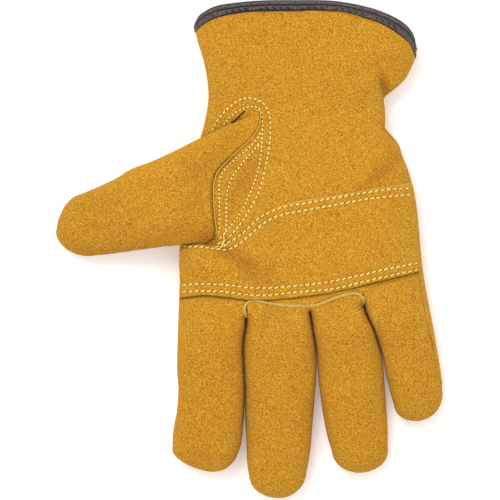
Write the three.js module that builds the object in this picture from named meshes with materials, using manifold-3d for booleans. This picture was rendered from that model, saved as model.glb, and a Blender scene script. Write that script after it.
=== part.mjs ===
// Leather driver glove for the right hand, lying on its back with the palm up.
// Millimetres, +Z up. +Y runs from the fingertips to the cuff and -X is the thumb's side.
// The glove is sewn from flat leather, so every panel here is a wall of even thickness
// between an outer skin and the same skin moved inwards, with an open hollow for the hand.
import * as THREE from "three";
import { mergeVertices } from "three/addons/utils/BufferGeometryUtils.js";
import Module from "manifold-3d";

const wasm = await Module();
wasm.setup();
const { clamp, lerp, smoothstep } = THREE.MathUtils;

// Leather and seams
const LEATHER = 1.6;
const PATCH_LEATHER = 1.2;
const TAPE = 1.0;
const SEAM_GAP = 0.3;
const LAY_GAP = 0.5; // between a piece and the curved wall that it lies on
const LAP_GAP = 0.45;
const TAPE_GAP = 0.6;
const TAPE_INNER_GAP = 1.0;
const WELT_WIDTH = 1.1;
const WELT_SLOT = 2.4;
const WELT_PROUD = 0.9;

// How far in from the outline a wall takes to turn from upright to level
const PALM_TURN = 28;
const FINGER_TURN = 14;
const CROTCH_TURN = 5;
const BACK_TURN = 9;
const THUMB_TURN = 13;
const THUMB_SEAM_TURN = 9;

// Heights over the length of the glove: the side seam, and the top of the palm's side
const HEIGHTS = [
  { y: 127, seam: 11.5, top: 25.0 },
  { y: 100, seam: 11.0, top: 25.0 },
  { y: 72, seam: 9.5, top: 22.0 },
  { y: 40, seam: 9.5, top: 24.0 },
  { y: 5, seam: 9.5, top: 25.5 },
  { y: -25, seam: 9.0, top: 23.5 },
  { y: -50, seam: 8.8, top: 20.0 },
  { y: -90, seam: 8.5, top: 19.0 },
  { y: -127, seam: 8.2, top: 17.5 },
];
const RIM_LIFT = 2.5; // the back rises this far at the cuff, to leave room for the tape
const RIM_LIFT_LENGTH = 14;
const LITTLE_SLIMMER = 1.8; // the little finger is this much thinner than the others

// Outline of the thumb's side, from the cuff to the index fingertip
const RADIAL_EDGE = [
  { y: 112.7, x: -28.6 },
  { y: 105.0, x: -26.5 },
  { y: 97.0, x: -24.0 },
  { y: 86.5, x: -21.9 },
  { y: 76.5, x: -21.4 },
  { y: 66.5, x: -23.0 },
  { y: 58.0, x: -25.2 },
  { y: 48.5, x: -29.5 },
  { y: 35.5, x: -34.5 },
  { y: 23.0, x: -37.0 },
  { y: 10.0, x: -36.4 },
  { y: 0.0, x: -35.7 },
  { y: -25.5, x: -36.2 },
  { y: -46.0, x: -36.9 },
  { y: -61.0, x: -37.2 },
  { y: -71.5, x: -36.7 },
  { y: -81.5, x: -37.5 },
  { y: -92.0, x: -39.3 },
  { y: -102.0, x: -39.8 },
];

// Outline of the little finger's side, with the pinch of the wrist, and how far the
// back panel laps over onto the palm's side there
const ULNAR_EDGE = [
  { y: 102.0, x: 84.7, lap: 0 },
  { y: 97.5, x: 84.4, lap: 0 },
  { y: 92.0, x: 82.1, lap: 0 },
  { y: 86.5, x: 78.5, lap: 0 },
  { y: 81.5, x: 73.4, lap: 0 },
  { y: 77.0, x: 69.6, lap: 0 },
  { y: 72.5, x: 68.9, lap: 0 },
  { y: 66.5, x: 69.4, lap: 0 },
  { y: 61.0, x: 70.9, lap: 0 },
  { y: 58.0, x: 71.9, lap: 0 },
  { y: 55.5, x: 75.0, lap: 0 },
  { y: 51.0, x: 77.5, lap: 0 },
  { y: 46.0, x: 79.1, lap: 0 },
  { y: 41.0, x: 81.1, lap: 0.6 },
  { y: 30.5, x: 83.6, lap: 1.4 },
  { y: 20.5, x: 85.2, lap: 1.8 },
  { y: 5.0, x: 86.7, lap: 2.1 },
  { y: -10.0, x: 88.2, lap: 2.4 },
  { y: -25.5, x: 90.8, lap: 2.6 },
  { y: -41.0, x: 93.8, lap: 2.4 },
  { y: -56.0, x: 96.4, lap: 1.6 },
  { y: -66.5, x: 97.9, lap: 0.6 },
  { y: -71.0, x: 98.3, lap: 0 },
  { y: -73.5, x: 98.4, lap: 0 },
];
const LEAST_LAP = 0.3;

// Lines across the hand, as y at each share of the width: the rim of the cuff, the lower
// edge of the tape that binds it, both edges of the palm patch, the welt and the crotches
const CROSS_LINES = {
  rim: [
    [0, 113.4], [0.0135, 116.7], [0.045, 119.8], [0.095, 122.3], [0.185, 124.1],
    [0.275, 125.1], [0.455, 125.5], [0.635, 125.0], [0.757, 122.6], [0.838, 119.9],
    [0.896, 117.0], [0.941, 114.1], [0.973, 110.7], [0.991, 107.0], [1, 102.6],
  ],
  tapeEdge: [
    [0, 108.7], [0.025, 113.0], [0.07, 116.5], [0.14, 119.0], [0.23, 120.6],
    [0.434, 121.2], [0.616, 121.2], [0.684, 120.6], [0.761, 118.0], [0.843, 114.6],
    [0.898, 111.3], [0.943, 107.6], [0.975, 103.6], [0.991, 100.0], [1, 96.0],
  ],
  patchTop: [
    [0, 2.6], [0.11, 2.6], [0.177, 2.0], [0.22, 4.6], [0.276, 9.2], [0.35, 16.6],
    [0.405, 20.9], [0.47, 23.7], [0.556, 25.8], [0.685, 28.1], [0.815, 30.6], [1, 34.2],
  ],
  patchBottom: [
    [0, -25.0], [0.043, -24.0], [0.104, -23.2], [0.145, -23.5], [0.215, -24.5],
    [0.288, -25.5], [0.337, -25.5], [0.45, -24.5], [0.575, -22.4], [0.697, -19.4],
    [0.82, -15.8], [1, -10.7],
  ],
  welt: [
    [0, -28.0], [0.2, -28.2], [0.27, -28.0], [0.32, -26.9], [0.37, -27.4], [0.43, -28.4],
    [0.49, -28.9], [0.54, -28.5], [0.59, -27.0], [0.65, -24.7], [0.7, -23.5],
    [0.73, -24.0], [0.77, -24.5], [0.88, -22.0], [1, -18.0],
  ],
  crotches: [
    [0, -34.7], [0.27, -34.7], [0.53, -31.8], [0.745, -28.3], [1, -24.0],
  ],
};
const CELLS_BETWEEN = [1, 12, 6, 1, 2];

// The four fingers, as rows of [distance towards the fingertips, x] for each side that
// leaves a crotch. The tip is a rounded end between two shoulders, and squareness 2 makes
// it a half ellipse.
const CROTCHES = [{ x: -2.35 }, { x: 30.6 }, { x: 57.9 }];
const FINGERS = [
  {
    name: "index",
    right: [[38, -2.7], [56, -2.65], [76.5, -2.65], [89, -3.3]],
    tip: {
      along: 113.0, across: -19.4, leftFrom: 102.0, rightFrom: 89.0,
      squareness: 1.6, rightSquareness: 2.3,
    },
  },
  {
    name: "middle",
    left: [[38, -1.95], [76.5, -2.0], [97, -2.0], [110, -1.3], [116, -0.3]],
    right: [
      [36, 30.7], [41, 31.6], [50, 33.2], [58.5, 33.8], [66.5, 33.6],
      [86.5, 32.1], [107, 30.1], [113, 28.9],
    ],
    tip: { along: 126.7, across: 14.8, leftFrom: 116.0, rightFrom: 113.0, squareness: 2 },
  },
  {
    name: "ring",
    left: [
      [36, 31.7], [41, 32.6], [50, 34.2], [58.5, 34.8], [66.5, 35.0],
      [76.5, 36.2], [86.5, 37.7], [97, 40.0], [102.5, 41.8],
    ],
    right: [
      [33, 59.0], [38.5, 61.3], [46, 64.4], [53.5, 66.6], [61, 67.8],
      [69, 68.6], [79, 69.4], [89, 70.1], [103, 70.4],
    ],
    tip: { along: 113.5, across: 55.6, leftFrom: 102.5, rightFrom: 103.0, squareness: 2 },
  },
  {
    name: "little",
    left: [
      [33, 60.1], [38.5, 62.5], [46, 65.6], [53.5, 67.8], [61, 69.1],
      [68, 70.4], [74, 71.9], [80, 73.7],
    ],
    tip: { along: 87.5, across: 84.7, leftFrom: 80.0, rightFrom: 73.5, squareness: 2 },
  },
];
const FINGER_CELLS = { across: 6, along: 12 };
const TIP_CROWDING = 1.8; // rows crowd towards the fingertip, where the wall turns down

// The thumb, measured from the middle of its seam with the palm: along is towards its
// tip, and across is towards its lower side
const THUMB_ORIGIN = { x: -17.9, y: 30.6 };
const THUMB_TURN_DEG = 13.5; // below the -X axis
const THUMB = {
  left: [
    [-26.8, -35.0], [-18.5, -29.3], [-12.0, -27.8], [0, -27.0], [14.5, -24.5],
    [26.5, -22.1], [38.5, -19.7], [49.5, -17.2], [63.0, -15.0], [67.0, -14.4],
  ],
  right: [[10.7, 25.5], [24.0, 23.4], [34.0, 22.0], [50.0, 20.0], [62.0, 19.2], [66.0, 18.6]],
  tip: {
    along: 84.0, across: 3.5, leftFrom: 67.0, rightFrom: 66.0,
    squareness: 1.75, rightSquareness: 2,
  },
};
// Its seam with the palm, and the far edge of its hole in the palm: along at each across
const THUMB_SEAM = [
  [-35.0, -26.8], [-33.7, -30.0], [-30.0, -30.3], [-25.0, -27.7], [-20.5, -22.3],
  [-17.5, -16.5], [-13.0, -9.0], [-9.0, -3.4], [-4.5, -0.4], [4.5, 2.2],
  [15.0, 4.0], [22.0, 5.4], [24.8, 8.0], [25.5, 10.7],
];
const THUMB_HOLE_EDGE = [[-20.5, -1.0], [-11.5, 8.0], [0, 13.5], [13.0, 15.5], [19.0, 16.0]];
// Its top and its underside, which droops from the palm to the table
const THUMB_HEIGHTS = [
  { along: -31, top: 27.5, under: 21.0 },
  { along: -18, top: 31.5, under: 20.5 },
  { along: 0, top: 35.0, under: 19.0 },
  { along: 15, top: 34.0, under: 17.2 },
  { along: 40, top: 27.5, under: 10.4 },
  { along: 65, top: 19.5, under: 3.2 },
  { along: 76, top: 16.8, under: 1.0 },
  { along: 84, top: 15.8, under: 0.4 },
];
const THUMB_CELLS = { across: 14, along: 11 };
const THUMB_SEAM_SHARE = 0.42; // the thumb's side seam, as a share of its thickness
const HOLE_MARGIN = 1.9; // palm leather that carries the thumb's walls

// Dents (negative) and bulges in the palm's side: middle, direction, half length and width
const FOLDS = [
  { name: "pinch_valley", x: 67.5, y: 80.0, deg: -50, long: 9, wide: 3.2, rise: -4.0 },
  { name: "pinch_ridge", x: 63.0, y: 76.5, deg: -50, long: 9, wide: 4.0, rise: 2.0 },
  { name: "lower_notch", x: 71.5, y: 56.0, deg: 32, long: 7, wide: 2.6, rise: -2.5 },
  { name: "crotch_dent", x: -4.5, y: -6.5, deg: -27, long: 16, wide: 6.0, rise: -2.0 },
  { name: "ball_bulge", x: -21.0, y: -10.0, deg: -20, long: 10, wide: 7.0, rise: 1.2 },
  { name: "heel_dent", x: 61.0, y: 36.0, deg: 32, long: 14, wide: 5.0, rise: -1.2 },
];

// A smooth curve through rows of [at, value]: cubic pieces whose slopes follow the rows
function through(rows) {
  const r = [...rows].sort((a, b) => a[0] - b[0]);
  const last = r.length - 1;
  const secant = (i) => (r[i + 1][1] - r[i][1]) / (r[i + 1][0] - r[i][0]);
  const slopes = r.map((row, i) => {
    if (i === 0) return secant(0);
    if (i === last) return secant(last - 1);
    const before = row[0] - r[i - 1][0];
    const after = r[i + 1][0] - row[0];
    return (after * secant(i - 1) + before * secant(i)) / (before + after);
  });
  return (at) => {
    if (at <= r[0][0]) return r[0][1];
    if (at >= r[last][0]) return r[last][1];
    let i = 0;
    while (at > r[i + 1][0]) i++;
    const h = r[i + 1][0] - r[i][0];
    const t = (at - r[i][0]) / h;
    const rest = 1 - t;
    return (
      rest * rest * (1 + 2 * t) * r[i][1] + rest * rest * t * h * slopes[i] +
      t * t * (3 - 2 * t) * r[i + 1][1] - t * t * rest * h * slopes[i + 1]
    );
  };
}
const column = (rows, at, value) => through(rows.map((row) => [row[at], row[value]]));

// Share of the full height at a distance in from the outline: a quarter ellipse, then level
function turned(distance, turn) {
  const left = 1 - clamp(distance / turn, 0, 1);
  return Math.sqrt(1 - left * left);
}

// An oriented outline, inside on its left. Each point keeps its outward direction.
function outlineOf(points) {
  const unit = (a, b) => {
    const length = Math.hypot(b.x - a.x, b.y - a.y);
    return { x: (b.y - a.y) / length, y: (a.x - b.x) / length };
  };
  const outward = points.map((p, i) => {
    if (p.crotch) return { x: 0, y: -1 };
    const before = unit(points[Math.max(i - 1, 0)], points[Math.max(i, 1)]);
    const after = unit(
      points[Math.min(i, points.length - 2)],
      points[Math.min(i + 1, points.length - 1)],
    );
    const length = Math.hypot(before.x + after.x, before.y + after.y);
    return { x: (before.x + after.x) / length, y: (before.y + after.y) / length };
  });
  // The nearest point of the outline, of one kind or of any
  return (x, y, kind) => {
    let best = { distance: Infinity };
    for (let i = 0; i + 1 < points.length; i++) {
      const a = points[i];
      const b = points[i + 1];
      if (kind !== undefined && a.slit !== kind) continue;
      const dx = b.x - a.x;
      const dy = b.y - a.y;
      const t = clamp(((x - a.x) * dx + (y - a.y) * dy) / (dx * dx + dy * dy), 0, 1);
      const distance = Math.hypot(a.x + t * dx - x, a.y + t * dy - y);
      if (distance < best.distance) best = { distance, near: t < 0.5 ? i : i + 1 };
    }
    return { distance: best.distance, outward: outward[best.near] };
  };
}

const PLAN_PASSES = 5; // a point's two coordinates settle on each other in these

// A finger or thumb in plan. A point is given by s, from its base (0) to its rounded
// end (1), and by xi, from its left side (-1) to its right side (1).
function digit({ left, right, from, tip, base, frame }) {
  const middle =
    (2 * tip.across - left(tip.leftFrom) - right(tip.rightFrom)) /
    (right(tip.rightFrom) - left(tip.leftFrom));
  const end = (xi) => {
    const side = xi < middle ? -1 : 1;
    const shoulder = side < 0 ? tip.leftFrom : tip.rightFrom;
    const off = clamp(Math.abs(xi - middle) / (1 - side * middle), 0, 1);
    const power = side < 0 ? tip.squareness : tip.rightSquareness ?? tip.squareness;
    const share = Math.pow(1 - Math.pow(off, power), 1 / power);
    return shoulder + (tip.along - shoulder) * share;
  };
  return (s, xi) => {
    const [leftMost, rightMost] = [
      lerp(from.left, tip.leftFrom, s), lerp(from.right, tip.rightFrom, s),
    ];
    const free = Math.min(3 * s, 1); // the first row keeps to the base
    let across = lerp(left(leftMost), right(rightMost), (xi + 1) / 2);
    let along = lerp(base(across, xi), end(xi), s);
    for (let pass = 0; pass < PLAN_PASSES; pass++) {
      const [l, r] = [left(lerp(leftMost, along, free)), right(lerp(rightMost, along, free))];
      across = lerp(l, r, (xi + 1) / 2);
      along = lerp(base(across, xi), end(xi), s);
    }
    return frame(along, across);
  };
}

const radialX = column(RADIAL_EDGE, "y", "x");
const ulnarX = column(ULNAR_EDGE, "y", "x");
const lapRows = column(ULNAR_EDGE, "y", "lap");
const ulnarLap = (y) => (lapRows(y) < LEAST_LAP ? 0 : lapRows(y));
const seamHeight = column(HEIGHTS, "y", "seam");
const topHeight = column(HEIGHTS, "y", "top");
const lines = Object.values(CROSS_LINES).map(through);
const rimOverX = through(
  CROSS_LINES.rim.map(([share, y]) => [lerp(radialX(200), ulnarX(200), share), y]),
);

// Shares of the hand's width at which its four fingers meet
const rootEnds = [radialX(lines[5](0)), ulnarX(lines[5](1))];
const bounds = [
  0,
  ...CROTCHES.map(({ x }) => (x - rootEnds[0]) / (rootEnds[1] - rootEnds[0])),
  1,
];

// The hand in plan: row counts the cross lines from the rim, and share runs from the
// thumb's side to the little finger's. lap is how far the right side is drawn in.
function handPoint(row, share, lap = 0) {
  const k = Math.min(Math.floor(row), lines.length - 2);
  const y = (u) => lerp(lines[k](u), lines[k + 1](u), row - k);
  const drawn = lap * ulnarLap(y(1)) * clamp((share - bounds[3]) / (1 - bounds[3]), 0, 1);
  return { x: lerp(radialX(y(0)), ulnarX(y(1)), share) - drawn, y: y(share) };
}

const downFrame = (along, across) => ({ x: across, y: -along });
function fingerPlan(k, lap = 0) {
  const finger = FINGERS[k];
  const from = { left: -lines[5](bounds[k]), right: -lines[5](bounds[k + 1]) };
  const side = (root, crotch, rows) => through([[root, crotch.x], ...rows]);
  return digit({
    left: finger.left
      ? side(from.left, CROTCHES[k - 1], finger.left)
      : (down) => radialX(-down),
    right: finger.right
      ? side(from.right, CROTCHES[k], finger.right)
      : (down) => ulnarX(-down) - lap * ulnarLap(-down),
    from,
    tip: finger.tip,
    base: (across, xi) => -lines[5](lerp(bounds[k], bounds[k + 1], (xi + 1) / 2)),
    frame: downFrame,
  });
}

// The whole outline of hand and fingers, from the cuff round to the cuff again
const FINE = 90; // steps along each stretch of an outline
function handOutline() {
  const points = [];
  const add = (p, slit, crotch = false) => points.push({ ...p, slit, crotch });
  for (let i = 0; i < 2 * FINE; i++) add(handPoint((5 * i) / (2 * FINE), 0), false);
  FINGERS.forEach((_, k) => {
    const plan = fingerPlan(k);
    for (let i = 0; i < FINE; i++) add(plan(i / FINE, -1), k > 0, k > 0 && i === 0);
    for (let i = 0; i < FINE; i++) add(plan(1, -Math.cos((Math.PI * i) / FINE)), false);
    for (let i = FINE; i > 0; i--) add(plan(i / FINE, 1), k < 3);
  });
  for (let i = 2 * FINE; i >= 0; i--) add(handPoint((5 * i) / (2 * FINE), 1), false);
  return points;
}
const handNear = outlineOf(handOutline());
const ON_OUTLINE = 0.1; // nearer than this counts as on the outline

const foldRise = (x, y) =>
  FOLDS.reduce((sum, f) => {
    const [c, s] = [Math.cos((f.deg * Math.PI) / 180), Math.sin((f.deg * Math.PI) / 180)];
    const along = ((x - f.x) * c + (y - f.y) * s) / f.long;
    const across = ((y - f.y) * c - (x - f.x) * s) / f.wide;
    return sum + f.rise * Math.exp(-along * along - across * across);
  }, 0);

// How much of the finger shape rules at a point: 0 on the hand, 1 well down the fingers
const rootY = (x) => lines[5](clamp((x - rootEnds[0]) / (rootEnds[1] - rootEnds[0]), 0, 1));
const fingerShare = (x, y, reach) => smoothstep(rootY(x) - y, 0, reach);

// Height of the palm's side
function frontZ(x, y) {
  const outer = handNear(x, y, false).distance;
  const slit = handNear(x, y, true).distance;
  const down = fingerShare(x, y, 28);
  const sides =
    turned(outer, lerp(PALM_TURN, FINGER_TURN, down)) *
    turned(slit, lerp(CROTCH_TURN, FINGER_TURN, down));
  const finger = turned(Math.min(outer, slit), FINGER_TURN);
  const share = lerp(sides, finger, fingerShare(x, y, 55));
  const slim = LITTLE_SLIMMER * smoothstep(x, 58, 68) * down;
  const seam = seamHeight(y);
  return seam + (topHeight(y) - slim - seam + foldRise(x, y) * (1 - down)) * share;
}

// Height of the back's side, level on the table and raised at the cuff
function backZ(x, y) {
  const outer = handNear(x, y, false).distance;
  const slit = handNear(x, y, true).distance;
  const down = fingerShare(x, y, 20);
  const share = turned(outer, BACK_TURN) * turned(slit, lerp(CROTCH_TURN, BACK_TURN, down));
  const finger = turned(Math.min(outer, slit), BACK_TURN);
  const lift = RIM_LIFT * (1 - smoothstep(rimOverX(x) - y, 3, RIM_LIFT_LENGTH));
  return lift + (seamHeight(y) - lift) * (1 - lerp(share, finger, down));
}

// A skin point with its outward direction. side is 1 on top and -1 underneath, and
// offset lifts the point off the skin. On the outline the wall stands upright.
const NUDGE = 0.02;
function skinPoint({ x, y }, side, height, near, seamAt, gap = SEAM_GAP) {
  const { distance, outward } = near(x, y);
  if (distance < ON_OUTLINE) {
    const p = new THREE.Vector3(x, y, seamAt(x, y) + (side * gap) / 2);
    return { p, n: new THREE.Vector3(outward.x, outward.y, 0) };
  }
  const dx = (height(x + NUDGE, y) - height(x - NUDGE, y)) / (2 * NUDGE);
  const dy = (height(x, y + NUDGE) - height(x, y - NUDGE)) / (2 * NUDGE);
  const n = new THREE.Vector3(-dx * side, -dy * side, side).normalize();
  return { p: new THREE.Vector3(x, y, height(x, y)), n };
}
const handSeamZ = (x, y) => seamHeight(y);
const frontPoint = (at) => skinPoint(at, 1, frontZ, handNear, handSeamZ);
const backPoint = (at) => skinPoint(at, -1, backZ, handNear, handSeamZ);

// A four-sided face as two triangles, split along its shorter diagonal
function halves([a, b, c, d], pointOf) {
  const first = pointOf(a).distanceTo(pointOf(c));
  const second = pointOf(b).distanceTo(pointOf(d));
  return first <= second ? [[a, b, c], [a, c, d]] : [[a, b, d], [b, c, d]];
}

// A wall from patches, which are grids of skin points. Points in one place are one
// corner. flip turns the faces of a skin whose patches run the other way round.
function wallGeometry(patches, { thickness = LEATHER, lift = 0, flip = false } = {}) {
  const corners = [];
  const seen = new Map();
  const corner = ({ p, n }) => {
    const key = p.toArray().map((v) => Math.round(v * 200)).join();
    if (!seen.has(key)) {
      seen.set(key, corners.length);
      corners.push({
        outer: p.clone().addScaledVector(n, lift + (lift ? thickness : 0)),
        inner: p.clone().addScaledVector(n, lift ? lift : -thickness),
      });
    }
    return seen.get(key);
  };
  const faces = [];
  for (const grid of patches) {
    const at = grid.map((row) => row.map(corner));
    for (let i = 0; i + 1 < at.length; i++)
      for (let j = 0; j + 1 < at[i].length; j++) {
        const quad = [at[i][j], at[i + 1][j], at[i + 1][j + 1], at[i][j + 1]];
        const turnedQuad = flip ? [...quad].reverse() : quad;
        faces.push(...halves(turnedQuad, (k) => corners[k].outer));
      }
  }
  const whole = faces.filter(([a, b, c]) => a !== b && b !== c && c !== a);
  const count = corners.length;
  const edges = new Set(
    whole.flatMap(([a, b, c]) => [[a, b], [b, c], [c, a]].map((e) => e.join())),
  );
  const rim = [...edges]
    .map((e) => e.split(",").map(Number))
    .filter(([a, b]) => !edges.has([b, a].join()))
    .flatMap(([a, b]) =>
      halves([b, a, a + count, b + count], (k) =>
        k < count ? corners[k].outer : corners[k - count].inner));
  const inner = whole.map(([a, b, c]) => [c + count, b + count, a + count]);
  const geometry = new THREE.BufferGeometry();
  const points = [...corners.map((c) => c.outer), ...corners.map((c) => c.inner)];
  geometry.setAttribute(
    "position",
    new THREE.Float32BufferAttribute(points.flatMap((p) => p.toArray()), 3),
  );
  geometry.setIndex([...whole, ...inner, ...rim].flat());
  return geometry;
}

const steps = (count) => Array.from({ length: count + 1 }, (_, i) => i / count);
const acrossSteps = (cells) => steps(cells).map((t) => -Math.cos(Math.PI * t));
const alongSteps = (cells) => steps(cells).map((t) => 1 - Math.pow(1 - t, TIP_CROWDING));

// Row numbers of the hand's grid, and the share of the width at each of its columns
const handRows = CELLS_BETWEEN.flatMap((cells, k) =>
  steps(cells).slice(k === 0 ? 0 : 1).map((t) => k + t),
);
const columnsOf = (k) =>
  acrossSteps(FINGER_CELLS.across).map((xi) => lerp(bounds[k], bounds[k + 1], (xi + 1) / 2));

const PALM_FINGERS = [0, 3];
const SET_IN_FINGERS = [1, 2];
const WELT_ROW = 4;
const ROOT_ROW = 5;

// Moves a point of the front away from the welt that runs round the set-in fingers
function clearOfWelt(at, row, share, inside) {
  const away = (inside ? -1 : 1) * (WELT_SLOT / 2);
  const left = Math.abs(share - bounds[1]) < 1e-6;
  const right = Math.abs(share - bounds[3]) < 1e-6;
  const onSide = (left || right) && row >= WELT_ROW - 1e-6;
  const onLine = Math.abs(row - WELT_ROW) < 1e-6 && share >= bounds[1] - 1e-6 &&
    share <= bounds[3] + 1e-6;
  return {
    x: at.x - (onSide ? (left ? 1 : -1) * away : 0),
    y: at.y + (onLine ? away : 0),
  };
}

const palmGrids = () => {
  const all = [0, 1, 2, 3].map((k) =>
    handRows
      .filter((row) => PALM_FINGERS.includes(k) || row <= WELT_ROW)
      .map((row) => columnsOf(k).map((share) =>
        frontPoint(clearOfWelt(handPoint(row, share, 1), row, share, false)))),
  );
  const fingers = PALM_FINGERS.map((k) => {
    const plan = fingerPlan(k, 1);
    return alongSteps(FINGER_CELLS.along).map((s) =>
      acrossSteps(FINGER_CELLS.across).map((xi) => {
        const share = lerp(bounds[k], bounds[k + 1], (xi + 1) / 2);
        const at = s > 0 ? plan(s, xi) : clearOfWelt(plan(s, xi), ROOT_ROW, share, false);
        return frontPoint(at);
      }));
  });
  return [...all, ...fingers];
};

const setInGrids = () => {
  const roots = SET_IN_FINGERS.map((k) =>
    handRows
      .filter((row) => row >= WELT_ROW)
      .map((row) => columnsOf(k).map((share) =>
        frontPoint(clearOfWelt(handPoint(row, share, 1), row, share, true)))),
  );
  const fingers = SET_IN_FINGERS.map((k) => {
    const plan = fingerPlan(k, 1);
    return alongSteps(FINGER_CELLS.along).map((s) =>
      acrossSteps(FINGER_CELLS.across).map((xi) => {
        const share = lerp(bounds[k], bounds[k + 1], (xi + 1) / 2);
        const at = s > 0 ? plan(s, xi) : clearOfWelt(plan(s, xi), ROOT_ROW, share, true);
        return frontPoint(at);
      }));
  });
  return [...roots, ...fingers];
};

// The strip of the back panel that laps up over the little finger's side, as far as the
// edge of the front panel, which stands there with a seam's gap above it
function lapStrip(edge, lapped) {
  const start = backPoint(edge);
  const lap = Math.hypot(edge.x - lapped.x, edge.y - lapped.y);
  if (lap < LEAST_LAP / 2) return [start, start, start];
  const { n } = frontPoint(lapped);
  const away = new THREE.Vector3(n.z, 0, -n.x).normalize().multiplyScalar(LAP_GAP);
  const last = frontPoint({ x: lapped.x + away.x, y: lapped.y });
  return [start, frontPoint({ x: lerp(edge.x, lapped.x, 0.4), y: edge.y }), last];
}

const backGrids = () => {
  const hand = [0, 1, 2, 3].map((k) =>
    handRows.map((row) => columnsOf(k).map((share) => backPoint(handPoint(row, share)))),
  );
  const fingers = [0, 1, 2, 3].map((k) => {
    const plan = fingerPlan(k);
    return alongSteps(FINGER_CELLS.along).map((s) =>
      acrossSteps(FINGER_CELLS.across).map((xi) => backPoint(plan(s, xi))));
  });
  const handLap = handRows.map((row) => lapStrip(handPoint(row, 1), handPoint(row, 1, 1)));
  const [plain, lapped] = [fingerPlan(3), fingerPlan(3, 1)];
  const fingerLap = alongSteps(FINGER_CELLS.along).map((s) =>
    lapStrip(plain(s, 1), lapped(s, 1)));
  return [...hand, ...fingers, handLap, fingerLap];
};

// The thumb in plan, and its skins
const turnRad = (THUMB_TURN_DEG * Math.PI) / 180;
const thumbFrame = (along, across) => ({
  x: THUMB_ORIGIN.x - along * Math.cos(turnRad) + across * Math.sin(turnRad),
  y: THUMB_ORIGIN.y - along * Math.sin(turnRad) - across * Math.cos(turnRad),
});
const thumbAlong = (x, y) =>
  -(x - THUMB_ORIGIN.x) * Math.cos(turnRad) - (y - THUMB_ORIGIN.y) * Math.sin(turnRad);
const thumbAcross = (x, y) =>
  (x - THUMB_ORIGIN.x) * Math.sin(turnRad) - (y - THUMB_ORIGIN.y) * Math.cos(turnRad);
const thumbSeam = through(THUMB_SEAM);
const thumbTop = column(THUMB_HEIGHTS, "along", "top");
const thumbUnder = column(THUMB_HEIGHTS, "along", "under");

const thumbPlan = digit({
  left: through(THUMB.left),
  right: through(THUMB.right),
  from: { left: THUMB.left[0][0], right: THUMB.right[0][0] },
  tip: THUMB.tip,
  base: thumbSeam,
  frame: thumbFrame,
});

function thumbOutline() {
  const points = [];
  const add = (p, slit) => points.push({ ...p, slit, crotch: false });
  for (let i = 0; i < FINE; i++) add(thumbPlan(i / FINE, -1), false);
  for (let i = 0; i < FINE; i++) add(thumbPlan(1, -Math.cos((Math.PI * i) / FINE)), false);
  for (let i = FINE; i > 0; i--) add(thumbPlan(i / FINE, 1), false);
  for (let i = 0; i < 2 * FINE; i++) add(thumbPlan(0, Math.cos((Math.PI * i) / (2 * FINE))), true);
  add(thumbPlan(0, -1), true);
  return points;
}
const thumbNear = outlineOf(thumbOutline());

// The underside starts at the far edge of the hole, between the first corners of the
// thumb's two sides, and shares the top's corners from the second row on
const thumbRows = alongSteps(THUMB_CELLS.along);
const holeEnds = [-1, 1].map((xi) => {
  const { x, y } = thumbPlan(thumbRows[1], xi);
  return [thumbAcross(x, y), thumbAlong(x, y)];
});
const holeEdge = through([holeEnds[0], ...THUMB_HOLE_EDGE, holeEnds[1]]);
function underPoint(row, xi) {
  const across = lerp(holeEnds[0][0], holeEnds[1][0], (xi + 1) / 2);
  const first = thumbFrame(holeEdge(across), across);
  if (row < 2 && Math.abs(xi) > 0.96) {
    const [side, along] = holeEnds[xi < 0 ? 0 : 1];
    return thumbFrame(along, side);
  }
  if (row === 0) return first;
  const later = thumbPlan(thumbRows[Math.max(row, 2)], xi);
  const share = row === 1 ? 0.5 : 1;
  return { x: lerp(first.x, later.x, share), y: lerp(first.y, later.y, share) };
}

// The thumb's side seam: on the palm at its base, and at mid thickness further out
function thumbSeamZ(x, y) {
  const along = thumbAlong(x, y);
  const across = thumbAcross(x, y);
  const onPatch = PATCH_LEATHER * 1.6 * smoothstep(across, 17, 23);
  const onPalm = frontZ(x, y) + LAY_GAP + onPatch;
  const off = smoothstep(along - thumbSeam(across), 2, 18);
  const side = lerp(thumbUnder(along), thumbTop(along), THUMB_SEAM_SHARE);
  return lerp(onPalm, Math.max(side, onPalm * (1 - off)), off);
}
function thumbTopZ(x, y) {
  const seam = thumbSeamZ(x, y);
  const outer = thumbNear(x, y, false).distance;
  const base = thumbNear(x, y, true).distance;
  const share = turned(outer, THUMB_TURN) * turned(base, THUMB_SEAM_TURN);
  return seam + (Math.max(thumbTop(thumbAlong(x, y)), seam + 2) - seam) * share;
}
function thumbUnderZ(x, y) {
  const along = thumbAlong(x, y);
  const across = thumbAcross(x, y);
  const fromHole = along - holeEdge(across);
  const low = lerp(frontZ(x, y) + LAY_GAP, thumbUnder(along), smoothstep(fromHole, 0, 9));
  const outer = thumbNear(x, y, false).distance;
  const seam = thumbSeamZ(x, y);
  return seam - (seam - low) * turned(outer, BACK_TURN);
}
const thumbGrid = (pointAt, side, height) => [
  thumbRows.map((s, row) =>
    acrossSteps(THUMB_CELLS.across).map((xi) =>
      skinPoint(pointAt(row, xi), side, height, thumbNear, thumbSeamZ, LAP_GAP))),
];
const topGrid = thumbGrid((row, xi) => thumbPlan(thumbRows[row], xi), 1, thumbTopZ);
const underGrid = thumbGrid(underPoint, -1, thumbUnderZ);

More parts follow.
